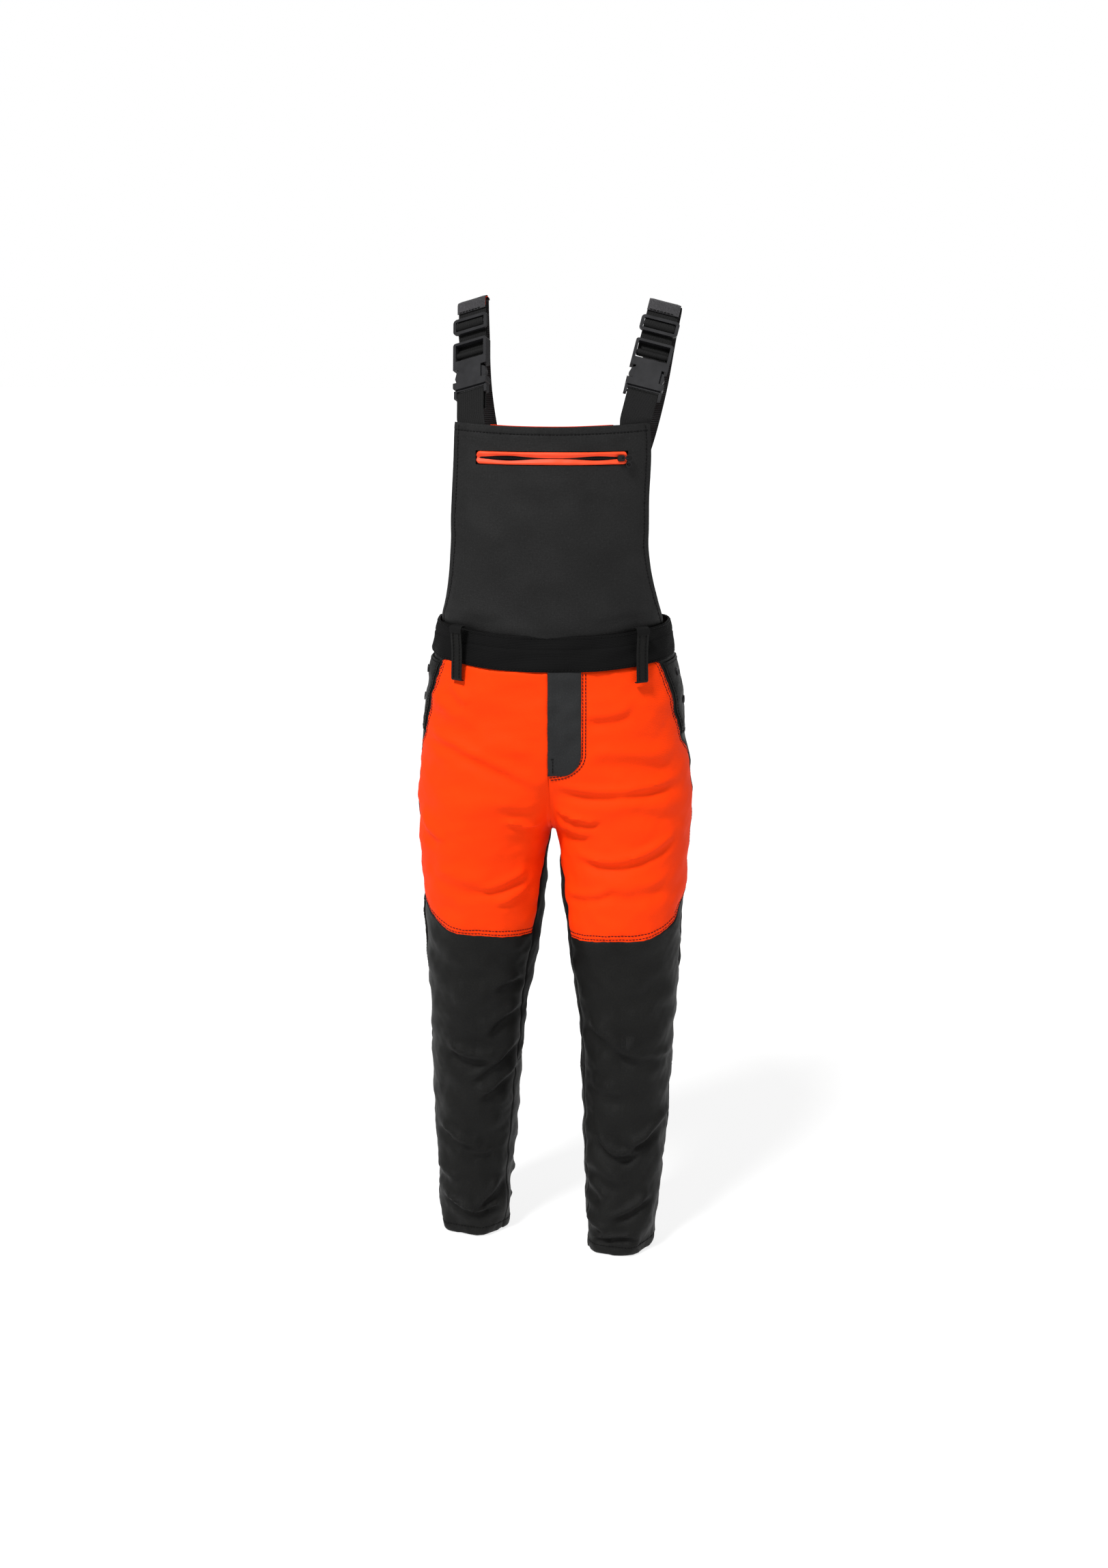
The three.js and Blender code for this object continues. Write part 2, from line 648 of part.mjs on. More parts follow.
function braceFrame(name) {
  const [foot, top] = [BRACES[name].foot, BRACES[name].top].map((p) => new THREE.Vector3(...p));
  const up = top.clone().sub(foot).normalize();
  const level = new THREE.Vector3(1, 0, 0);
  level.addScaledVector(up, -level.dot(up)).normalize();
  const across = level.applyAxisAngle(up, deg(BRACES[name].yaw));
  const back = new THREE.Vector3().crossVectors(up, across);
  const frame = new THREE.Group();
  frame.name = `${name}_brace_frame`;
  frame.position.copy(foot);
  frame.quaternion.setFromRotationMatrix(new THREE.Matrix4().makeBasis(across, back, up));
  frame.updateMatrix();
  garment.add(frame);
  return frame;
}
const inBrace = (frame, y, z) => new THREE.Vector3(0, y, z).applyMatrix4(frame.matrix);
const braceWidth = (frame) => new THREE.Vector3().setFromMatrixColumn(frame.matrix, 0);

// Webbing that follows a line of (y, z) points, with its full width across x.
function webbingAlong(points, width, thick) {
  const line = points.map(([y, z]) => new THREE.Vector2(y, z));
  const offset = (i, d) => {
    const before = line[Math.max(i - 1, 0)];
    const after = line[Math.min(i + 1, line.length - 1)];
    const dir = after.clone().sub(before).normalize();
    return line[i].clone().add(new THREE.Vector2(-dir.y, dir.x).multiplyScalar(d));
  };
  return slab(1, line.length - 1, (u, v, layer) => {
    const p = offset(Math.round(v * (line.length - 1)), (layer ? 0.5 : -0.5) * thick);
    return [(u - 0.5) * width, p.x, p.y];
  });
}

// Half of a round turn of webbing about a bar at height z, from the front over the top or bottom to the back.
const turn = (z, radius, fromDeg, toDeg, n) =>
  Array.from({ length: n + 1 }, (_, i) => {
    const a = deg(lerp(fromDeg, toDeg, i / n));
    return [-radius * Math.cos(a), z + radius * Math.sin(a)];
  });

function buckleHousing() {
  const { width, thick, cavity, window: slot, windowDepth } = BUCKLE;
  const { housingFoot, plateTop, barFoot, barTop, housingTop } = BRACE;
  // A cutting box given by its width, its span in depth and its span up the brace.
  const cutter = (w, y0, y1, z0, z1, x = 0) => box(w, y1 - y0, z1 - z0, x, (y0 + y1) / 2, (z0 + z1) / 2);
  const shell = plate(roundedRect(width, housingTop - housingFoot, 4), thick).rotateX(Math.PI / 2);
  const [front, back, wide] = [-thick, thick, WEBBING + 2];
  return cut(
    shell.translate(0, 0, (housingTop + housingFoot) / 2),
    cutter(cavity, 2.2 - thick / 2, thick / 2 - 2.2, housingFoot - 1, plateTop - 3),
    cutter(wide, front, back, plateTop, barFoot),
    cutter(wide, front, back, barTop, housingTop - 4),
    cutter(wide, front, -2, barFoot - 1, barTop + 1),
    cutter(wide, 2, back, plateTop - 1, housingTop + 1),
    ...[1, -1].map((side) => cutter(windowDepth * 2, front, back, slot[0], slot[1], (side * width) / 2)),
  );
}

function maleClip() {
  const { clipFoot, clipBar, housingFoot } = BRACE;
  const railTop = housingFoot - 0.9;
  const railX = BUCKLE.width / 2 - 2.6;
  const rail = (side) => box(4.4, 8, railTop - clipFoot, side * railX, 0, (railTop + clipFoot) / 2);
  return joined(
    rail(1),
    rail(-1),
    box(2 * railX, 3, 3, 0, 0, clipBar),
    box(2 * railX, 7, 2, 0, 0, railTop - 1),
    box(44, 7, 8, 0, 0, railTop + 2.6),
    box(8, 3.4, 30, 0, 0, housingFoot + 20),
  );
}

// A springy arm with the button that stands in the housing's side window.
function prong(side) {
  const foot = BRACE.housingFoot + 6.6;
  const [low, high] = BUCKLE.window;
  const outline = [
    [10, foot],
    [15, foot],
    [16, low + 1.5],
    [24.5, low + 2.5],
    [26.5, low + 8],
    [24, high - 4],
    [19, high - 1.5],
    [16, high + 1],
    [12.5, high + 1],
    [11.5, low + 6],
  ].map(([x, z]) => new THREE.Vector2(x, z));
  const arm = plate(outline, 6).rotateX(Math.PI / 2);
  return side > 0 ? arm : arm.rotateZ(Math.PI);
}

function strapSlider() {
  const frame = plate(roundedRect(SLIDER.width, SLIDER.height, 6), SLIDER.thick);
  const slot = (z) => box(WEBBING + 2, SLIDER.slot, 2 * SLIDER.thick, 0, z, 0);
  const slotted = cut(frame, slot(SLIDER.slotMiddle), slot(-SLIDER.slotMiddle));
  return slotted.rotateX(Math.PI / 2).translate(0, SLIDER.y, BRACE.glide);
}

// A strip through world points, each with the direction of its width.
function strip(points, widths, width, thick) {
  const tangent = (i) =>
    points[Math.min(i + 1, points.length - 1)].clone().sub(points[Math.max(i - 1, 0)]).normalize();
  return slab(1, points.length - 1, (u, v, layer) => {
    const i = Math.round(v * (points.length - 1));
    const normal = new THREE.Vector3().crossVectors(tangent(i), widths[i]).normalize();
    const p = points[i].clone().addScaledVector(widths[i], (u - 0.5) * width);
    return p.addScaledVector(normal, (layer ? 0.5 : -0.5) * thick).toArray();
  });
}

// The shoulder strap: a patch on top of the webbing, the turn over the shoulder, then elastic down the back.
// The bib strap: sewn in behind the bib, then round the clip's bar and back down.
function bibStrap(name, frame, around) {
  const x = BRACES[name].foot[0];
  const edge = new THREE.Vector3(Math.sqrt(BIB_RADIUS ** 2 - x * x), x, 0).normalize();
  const sewn = [1303, BIB_TOP_Z - 2].map((z) => new THREE.Vector3(x, bibY(Math.abs(x), z) + BIB_ROOM / 2 + 0.8, z));
  const bend = [
    [-3.4, 20],
    [-3.4, 40],
    ...turn(BRACE.clipBar, around, 0, 180, 6),
    [3.4, 38],
    [3.4, 22],
  ].map(([y, z]) => inBrace(frame, y, z));
  const points = [...sewn, ...bend];
  const widths = points.map((p, i) => (i < sewn.length ? edge : braceWidth(frame)));
  return strip(points, widths, WEBBING, WEBBING_THICK);
}

const SHOULDER = { thick: 2.4, y: -1.2, turn: 8, turnSteps: 5, turnAngle: 140 };
function backStrap(name, frame) {
  const frontWidth = braceWidth(frame);
  const front = [BRACE.patchFoot, (BRACE.patchFoot + BRACE.top) / 2, BRACE.top].map((z) =>
    inBrace(frame, SHOULDER.y, z),
  );
  const over = Array.from({ length: SHOULDER.turnSteps }, (_, i) => {
    const a = deg(((i + 1) * SHOULDER.turnAngle) / SHOULDER.turnSteps);
    const y = SHOULDER.y + SHOULDER.turn * (1 - Math.cos(a));
    return inBrace(frame, y, BRACE.top + SHOULDER.turn * Math.sin(a));
  });
  const back = BRACES[name].back.map((p) => new THREE.Vector3(...p));
  const points = [...front, ...over, ...back];
  const level = new THREE.Vector3(1, 0, 0);
  const widths = points.map((p, i) => {
    const t = smooth(i, front.length + 1, points.length - 2);
    return frontWidth.clone().lerp(level, t).normalize();
  });
  return strip(points, widths, WEBBING, SHOULDER.thick);
}

for (const { side, name } of SIDES) {
  const frame = braceFrame(name);
  const webY = 1.6;
  const around = WEBBING_THICK / 2 + 2.6;
  add(`${name}_bib_strap`, bibStrap(name, frame, around), "webbing");
  add(`${name}_male_clip`, maleClip(), "plastic", frame);
  add(`${name}_buckle_housing`, buckleHousing(), "plastic", frame);
  for (const arm of [1, -1])
    add(`${name}_prong_${arm > 0 ? "outer" : "inner"}`, prong(arm * side), "plastic", frame);
  add(`${name}_strap_slider`, strapSlider(), "plastic", frame);
  const bar = (BRACE.barFoot + BRACE.barTop) / 2;
  add(
    `${name}_webbing`,
    webbingAlong(
      [
        [webY, BRACE.top - 2],
        [webY, BRACE.housingTop + 14],
        [3.6, BRACE.housingTop + 3],
        [3.6, BRACE.housingTop - 6],
        ...turn(bar, around + 1.2, 135, -135, 8),
        [6.3, bar + 5],
        [6.3, BRACE.housingTop + 3],
        [4.6, BRACE.housingTop + 16],
        [4.6, BRACE.housingTop + 46],
      ],
      WEBBING,
      WEBBING_THICK,
    ),
    "webbing",
    frame,
  );
  add(`${name}_back_strap`, backStrap(name, frame), "elastic");
}

export default garment;
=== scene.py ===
"""Looks for the chainsaw bib trousers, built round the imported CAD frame.

The cloth follows the same surfaces as the CAD solids, in millimetres, with folds, seams and stitches added.
Points are turned into metres only when a mesh is made.
"""

import math

import bpy
import numpy as np
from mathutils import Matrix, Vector


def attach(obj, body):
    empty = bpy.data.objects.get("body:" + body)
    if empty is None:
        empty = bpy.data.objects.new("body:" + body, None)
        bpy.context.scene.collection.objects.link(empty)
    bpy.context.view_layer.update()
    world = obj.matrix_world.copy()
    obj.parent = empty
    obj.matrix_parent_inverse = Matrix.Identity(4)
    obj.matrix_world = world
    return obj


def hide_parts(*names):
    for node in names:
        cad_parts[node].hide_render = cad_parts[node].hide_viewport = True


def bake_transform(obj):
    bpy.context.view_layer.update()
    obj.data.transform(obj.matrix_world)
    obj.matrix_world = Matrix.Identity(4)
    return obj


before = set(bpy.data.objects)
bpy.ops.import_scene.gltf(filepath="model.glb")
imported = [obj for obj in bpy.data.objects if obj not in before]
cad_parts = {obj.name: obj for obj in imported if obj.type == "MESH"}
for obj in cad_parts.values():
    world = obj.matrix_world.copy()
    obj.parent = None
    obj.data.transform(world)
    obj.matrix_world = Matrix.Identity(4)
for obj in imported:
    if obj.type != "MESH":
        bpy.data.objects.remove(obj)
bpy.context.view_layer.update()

# ------------------------------------------------------------------ sizes, as in the CAD, in millimetres
FRAME_SHIFT = np.array([0.0, -0.6, 0.0])
CROTCH_Z = 690.0
TROUSER_TOP_Z = 960.0
BAND_TOP_Z = 1011.0
BIB_TOP_Z = 1322.0
LEG = [
    [0, 122, 53, 60, 4],
    [60, 122, 60, 67, 6],
    [120, 122, 62, 69, 9],
    [200, 124, 69, 76, 14],
    [300, 122, 75, 82, 14],
    [400, 118, 80, 84, 6],
    [500, 114, 88, 92, 0],
    [600, 109, 99, 104, 2],
    [690, 107, 107, 116, 6],
    [750, 78, 138, 126, 9],
    [800, 48, 163, 132, 10],
    [850, 26, 177, 134, 8],
    [900, 10, 187, 131, 4],
    [960, 0, 184, 126, 0],
]
SQUARENESS = 2.25
STANCE_X, STANCE_Y = 12.0, 27.0
INSEAM_ANGLE, INSEAM_TURN_Z = 155.0, 600.0
POCKET_BOTTOM_Z, POCKET_CORNER_Z, POCKET_TOP_ANGLE, POCKET_CORNER_ANGLE = 812.0, 842.0, 30.0, 14.0
BAND_TOP_HALF = (176.0, 119.0)
WAIST_RISE, RISE_FOOT_Z = 12.0, 800.0
BIB_RADIUS, BIB_FRONT_Y = 280.0, -140.0
BIB_AXIS_Y = BIB_FRONT_Y + BIB_RADIUS
BIB_EDGE = [[1011, 170], [1050, 160], [1100, 151], [1150, 146.5], [1200, 145], [1250, 144.5], [1322, 142]]
BIB_LEAN = 5.0
BACK_EDGE = [[1011, 150], [1060, 118], [1110, 99], [1188, 88]]
BACK_TOP_Z = 1188.0
ZIP_Z, ZIP_LEFT, ZIP_RIGHT, ZIP_HALF = 1272.5, -105.0, 115.0, 10.0
WEBBING, WEBBING_THICK = 45.0, 1.8
BRACE = {"bar": 114.5, "clip_bar": 51.0, "housing_top": 134.0, "glide": 161.0, "patch": 184.0, "top": 198.0}
BRACES = {
    "left": {
        "foot": (123, -104, 1318),
        "top": (164, -3, 1489),
        "yaw": 8,
        "back": [(166, 22, 1482), (158, 40, 1440), (142, 68, 1350), (118, 96, 1260), (88, 113, 1196)],
    },
    "right": {
        "foot": (-112, -108, 1318),
        "top": (-121, -3, 1497),
        "yaw": -26,
        "back": [(-119, 22, 1488), (-121, 40, 1445), (-121, 68, 1355), (-108, 96, 1262), (-84, 113, 1196)],
    },
}
SIDES = (("left", 1), ("right", -1))
CALF_TOP_Z = 300.0
LINING_Z, PAD_Z, POCKET_BAG_Z = (24, 640), (60, 900), (770, 945)
PLACKET_Z, RULE_POCKET_Z, CHEST_POCKET_Z = (846, 954), (452, 580), (1085, 1258)
FLY_BOTTOM_Z, FLY_WIDTH, FLY_CORNER = 800.0, 49.0, 36.0
BAND_SEAM_Z = 991.5
LOOP_BOTTOM_Z, LOOP_TOP_Z = 938, 1013.4
BIB_GRID_Z, BIB_LEVEL_Z = 1006, 1180
LIP_INSET, LIP_CORNER, LIP_HEIGHT = 2.2, 4.0, 9.0
# Little angle by which a front cloth passes its inner seam.
SEAM_LAP = 0.15


# ------------------------------------------------------------------ small helpers
def along(table, column, z):
    """A smooth curve through one column of a table whose first column is height."""
    t = np.asarray(table, float)
    x, y = t[:, 0], t[:, column]
    last = len(x) - 1
    k = np.arange(last + 1)
    before, after = np.maximum(k - 1, 0), np.minimum(k + 1, last)
    slope = (y[after] - y[before]) / (x[after] - x[before])
    z = np.asarray(z, float)
    i = np.clip(np.searchsorted(x, z, side="right") - 1, 0, last - 1)
    h = x[i + 1] - x[i]
    s = (z - x[i]) / h
    return (
        y[i] * (1 + 2 * s) * (1 - s) ** 2
        + slope[i] * h * s * (1 - s) ** 2
        + y[i + 1] * s * s * (3 - 2 * s)
        + slope[i + 1] * h * s * s * (s - 1)
    )


def smooth(x, a, b):
    t = np.clip((np.asarray(x, float) - a) / (b - a), 0, 1)
    return t * t * (3 - 2 * t)


def lerp(a, b, t):
    return a + (b - a) * t


def bend(v):
    """Turns the cosine or sine of a circle into that of the body's squarer outline."""
    return np.sign(v) * np.abs(v) ** (2 / SQUARENESS)


def unit(v):
    return v / np.maximum(np.linalg.norm(v, axis=-1, keepdims=True), 1e-9)


def waves(seed, count, shortest, longest):
    """Seeded sine waves in two dimensions, as (direction, wavelength, phase)."""
    r = np.random.default_rng(seed)
    angle = r.uniform(0, 2 * math.pi, count)
    length = np.exp(r.uniform(math.log(shortest), math.log(longest), count))
    return np.cos(angle) / length, np.sin(angle) / length, r.uniform(0, 2 * math.pi, count)


def ripple(p, q, wave_set):
    """Smooth noise of about unit size over two lengths."""
    kx, ky, phase = wave_set
    total = np.zeros(np.shape(p))
    for a, b, c in zip(kx, ky, phase):
        total = total + np.sin(2 * math.pi * (a * p + b * q) + c)
    return total / math.sqrt(len(kx) / 2)


# ------------------------------------------------------------------ materials
class Nodes:
    """Shorthand for building a material's node tree."""

    def __init__(self, name):
        self.material = bpy.data.materials.new(name)
        self.material.use_nodes = True
        self.tree = self.material.node_tree
        self.bsdf = self.tree.nodes["Principled BSDF"]

    def add(self, kind, **sockets):
        node = self.tree.nodes.new(kind)
        for key, value in sockets.items():
            if key in node.inputs:
                node.inputs[key].default_value = value
            else:
                setattr(node, key, value)
        return node

    def link(self, a, b):
        self.tree.links.new(a, b)

    def coordinate(self, output):
        return self.add("ShaderNodeTexCoord").outputs[output]

    def noise(self, vector, scale, detail, roughness):
        node = self.add("ShaderNodeTexNoise", Scale=scale, Detail=detail, Roughness=roughness)
        self.link(vector, node.inputs["Vector"])
        return node.outputs["Fac"]

    def bands(self, vector, direction, period, distortion):
        """A wave along X, Y or DIAGONAL with a period in metres."""
        node = self.add("ShaderNodeTexWave", Scale=0.314159 / period, Distortion=distortion)
        node.wave_type = "BANDS"
        node.bands_direction = direction
        self.link(vector, node.inputs["Vector"])
        return node.outputs["Fac"]

    def math(self, operation, a, b):
        node = self.add("ShaderNodeMath", operation=operation)
        for i, value in enumerate((a, b)):
            if isinstance(value, (int, float)):
                node.inputs[i].default_value = value
            else:
                self.link(value, node.inputs[i])
        return node.outputs[0]

    def ramp(self, value, stops):
        node = self.add("ShaderNodeValToRGB")
        elements = node.color_ramp.elements
        while len(elements) < len(stops):
            elements.new(0.5)
        for element, (position, colour) in zip(elements, stops):
            element.position = position
            element.color = (*colour, 1)
        self.link(value, node.inputs["Fac"])
        return node.outputs["Color"]

    def mix(self, factor, a, b, blend="MIX"):
        node = self.add("ShaderNodeMix", data_type="RGBA", blend_type=blend)
        for key, value in (("Factor", factor), ("A", a), ("B", b)):
            kind = "VALUE" if key == "Factor" else "RGBA"
            socket = next(s for s in node.inputs if s.name == key and s.type == kind)
            if isinstance(value, (int, float)):
                socket.default_value = value
            elif isinstance(value, tuple):
                socket.default_value = (*value, 1)
            else:
                self.link(value, socket)
        return next(s for s in node.outputs if s.type == "RGBA")

    def roughness(self, value, low, high):
        """Roughness that follows a value between two limits."""
        spread = self.add("ShaderNodeMapRange")
        spread.inputs["To Min"].default_value = low
        spread.inputs["To Max"].default_value = high
        self.link(value, spread.inputs["Value"])
        self.link(spread.outputs["Result"], self.bsdf.inputs["Roughness"])

    def bump(self, height, strength, distance, normal=None):
        node = self.add("ShaderNodeBump", Strength=strength, Distance=distance)
        self.link(height, node.inputs["Height"])
        if normal is not None:
            self.link(normal, node.inputs["Normal"])
        return node.outputs["Normal"]


def linear(*colour):
    """sRGB values of 0 to 255 as linear light."""
    shares = [c / 255 for c in colour]
    return tuple(c / 12.92 if c < 0.04045 else ((c + 0.055) / 1.055) ** 2.4 for c in shares)


def grey(value):
    return (value, value, value)


def scaled(colour, k):
    return tuple(min(1.0, c * k) for c in colour)


def cloth(name, colour, roughness, thread, variation, bump, sheen, twill=False, fleck=None, gloss=0.14):
    """Woven cloth: two crossed sets of threads, uneven yarn, and slow random changes of tone; the gaps
    between the threads are darkened as painted shade.
    """
    n = Nodes(name)
    uv = n.coordinate("UV")
    across = n.bands(uv, "DIAGONAL" if twill else "X", thread, 0.6)
    up = n.bands(uv, "Y", thread * (1.3 if twill else 1.0), 0.6)
    weave = n.math("MAXIMUM", across, up)
    yarn = n.noise(uv, 0.55 / thread, 4, 0.65)
    shade = n.noise(uv, 14.0, 3, 0.5)
    base = n.ramp(shade, [(0.3, scaled(colour, 1 - variation)), (0.7, scaled(colour, 1 + variation))])
    grain = n.ramp(yarn, [(0.32, grey(1 - 1.6 * variation)), (0.68, grey(1 + 0.4 * variation))])
    tinted = n.mix(1.0, base, grain, "MULTIPLY")
    # Painted shade: the colour is darker in the weave's low gaps between the threads.
    painted_weave_shade = n.ramp(weave, [(0.2, grey(0.8)), (0.9, grey(1))])
    tinted = n.mix(0.8, tinted, painted_weave_shade, "MULTIPLY")
    if fleck:
        tinted = n.mix(n.ramp(yarn, [(0.62, grey(0)), (0.74, grey(0.5))]), tinted, fleck)
    n.link(tinted, n.bsdf.inputs["Base Color"])
    n.roughness(shade, roughness - 0.08, roughness + 0.08)
    slow = n.bump(shade, 0.25, 0.002)
    n.link(n.bump(n.math("ADD", weave, yarn), bump, thread * 0.35, slow), n.bsdf.inputs["Normal"])
    n.bsdf.inputs["Sheen Weight"].default_value = sheen
    n.bsdf.inputs["Sheen Roughness"].default_value = 0.5
    n.bsdf.inputs["Specular IOR Level"].default_value = gloss
    return n.material


def ribbed(name, colour, roughness, rib, direction, painted_rib_shade_and_highlight, bump):
    """Elastic or webbing: ribs in one direction with fine threads between them; the ribs carry painted shade
    in their hollows and a painted highlight on their crowns.
    """
    n = Nodes(name)
    uv = n.coordinate("UV")
    ribs = n.bands(uv, direction, rib, 0.15)
    fine = n.bands(uv, "X" if direction == "Y" else "Y", rib * 0.6, 0.8)
    yarn = n.noise(uv, 0.4 / rib, 4, 0.6)
    height = n.math("ADD", ribs, n.math("MULTIPLY", fine, 0.35))
    # Colour follows the ribs' height: painted shade in the hollows and a painted highlight on the crowns.
    low, high = scaled(colour, 1 - painted_rib_shade_and_highlight), scaled(colour, 1 + painted_rib_shade_and_highlight)
    base = n.ramp(ribs, [(0.15, low), (0.85, high)])
    grain = n.ramp(yarn, [(0.3, grey(0.75)), (0.7, grey(1))])
    n.link(n.mix(1.0, base, grain, "MULTIPLY"), n.bsdf.inputs["Base Color"])
    n.roughness(yarn, roughness - 0.1, roughness + 0.06)
    n.link(n.bump(height, bump, rib * 0.25), n.bsdf.inputs["Normal"])
    n.bsdf.inputs["Specular IOR Level"].default_value = 0.12
    return n.material


def moulded(name, colour, roughness, grain=0.0007, bump=0.25):
    """Moulded plastic with a fine spark-eroded texture and slightly rubbed high spots."""
    n = Nodes(name)
    place = n.coordinate("Object")
    fine = n.noise(place, 0.6 / grain, 3, 0.6)
    wide = n.noise(place, 60.0, 3, 0.5)
    base = n.ramp(wide, [(0.3, scaled(colour, 0.82)), (0.75, scaled(colour, 1.25))])
    n.link(base, n.bsdf.inputs["Base Color"])
    n.roughness(wide, roughness - 0.1, roughness + 0.12)
    n.link(n.bump(fine, bump, 0.0001), n.bsdf.inputs["Normal"])
    n.bsdf.inputs["Specular IOR Level"].default_value = 0.28
    return n.material


ORANGE = linear(255, 60, 2)
# The zip lips are the orange shell cloth, made lighter as a painted highlight.
LIP_ORANGE_PAINTED_HIGHLIGHT = linear(255, 74, 30)
MATERIALS = {
    "orange": cloth("orange_shell", ORANGE, 0.7, 0.0011, 0.05, 0.3, 0.0, twill=True, gloss=0.08),
    "lip": cloth("zip_lip_painted_highlight_cloth", LIP_ORANGE_PAINTED_HIGHLIGHT, 0.5, 0.0011, 0.04, 0.25, 0.0, gloss=0.35),
    "charcoal": cloth(
        "charcoal_shell", linear(19, 19, 18), 0.52, 0.0013, 0.26, 0.5, 0.0,
        fleck=linear(36, 36, 35), gloss=0.13,
    ),
    "stretch": cloth("stretch_back", linear(12, 12, 12), 0.8, 0.0009, 0.14, 0.25, 0.01),
    "bib": cloth("bib_shell", linear(31, 31, 31), 0.6, 0.0016, 0.2, 0.5, 0.0, fleck=linear(48, 48, 49)),
    "patch": cloth(
        "shoulder_cloth", linear(66, 65, 67), 0.75, 0.0015, 0.24, 0.6, 0.02, fleck=linear(98, 98, 99)
    ),
    "fly": cloth(
        "fly_cloth", linear(34, 35, 36), 0.65, 0.0013, 0.18, 0.5, 0.01, fleck=linear(54, 54, 57), gloss=0.2
    ),
    "lining": cloth("lining_knit", linear(30, 32, 38), 0.9, 0.0018, 0.15, 0.5, 0.1),
    "pad": cloth("cut_fibre", linear(214, 205, 182), 0.95, 0.003, 0.12, 0.7, 0.2),
    "band": ribbed("waist_elastic", linear(8, 8, 8), 0.85, 0.0024, "Y", 0.35, 0.5),
    "elastic": ribbed("strap_elastic", linear(22, 22, 23), 0.6, 0.0030, "Y", 0.9, 0.9),
    "webbing": ribbed("strap_webbing", linear(19, 19, 19), 0.65, 0.0017, "X", 0.3, 0.6),
    "plastic": moulded("buckle_plastic", linear(27, 27, 29), 0.44),
    "zip": moulded("zip_plastic", linear(10, 10, 11), 0.34, 0.0005, 0.15),
    "snap": moulded("snap_plastic", linear(20, 20, 22), 0.36, 0.0005, 0.15),
    "navy_thread": ribbed("navy_thread", linear(40, 14, 22), 0.7, 0.0006, "Y", 0.3, 0.5),
    "dark_thread": ribbed("dark_thread", linear(9, 9, 9), 0.65, 0.0006, "Y", 0.3, 0.5),
}


# ------------------------------------------------------------------ making meshes
def make_piece(name, points, faces, material, body, uv, sharp=50.0, blended=False):
    """A mesh piece from points and uv in millimetres; it rides on a CAD body unless blended is set, when it
    is left loose.
    """
    mesh = bpy.data.meshes.new(name)
    mesh.from_pydata(((np.asarray(points) + FRAME_SHIFT) / 1000).tolist(), [], faces)
    layer = mesh.uv_layers.new(name="UVMap")
    corner = np.zeros(len(mesh.loops), np.int32)
    mesh.loops.foreach_get("vertex_index", corner)
    layer.data.foreach_set("uv", (np.asarray(uv)[corner] / 1000).astype(np.float32).ravel())
    mesh.polygons.foreach_set("use_smooth", [True] * len(mesh.polygons))
    mesh.set_sharp_from_angle(angle=math.radians(sharp))
    mesh.materials.append(MATERIALS[material])
    piece = bpy.data.objects.new(name, mesh)
    bpy.context.scene.collection.objects.link(piece)
    if not blended:
        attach(piece, body)
    return piece


# Distances from an edge of a panel at which its grid has lines, so that the rolled edge stays round.
EDGE_LINES = (0, 0.7, 1.6, 2.8, 4.2, 5.8, 7.4, 9.0, 10.8, 13)
FEW_EDGE_LINES = EDGE_LINES[:5]


def spaced(length, step, fine=EDGE_LINES):
    """Places from 0 to 1 along a length, close together near both ends."""
    ends = np.array([f for f in fine if f < length / 2.5])
    middle = np.linspace(ends[-1], length - ends[-1], max(2, round((length - 2 * ends[-1]) / step)) + 1)
    return np.concatenate([ends[:-1], middle, (length - ends[:-1])[::-1]]) / length


def crossing(spans, place, from_start):
    """Fractional index at which each span of running lengths reaches a distance from its start or end."""
    return np.array([np.interp(place if from_start else s[-1] - place, s, np.arange(len(s))) for s in spans])


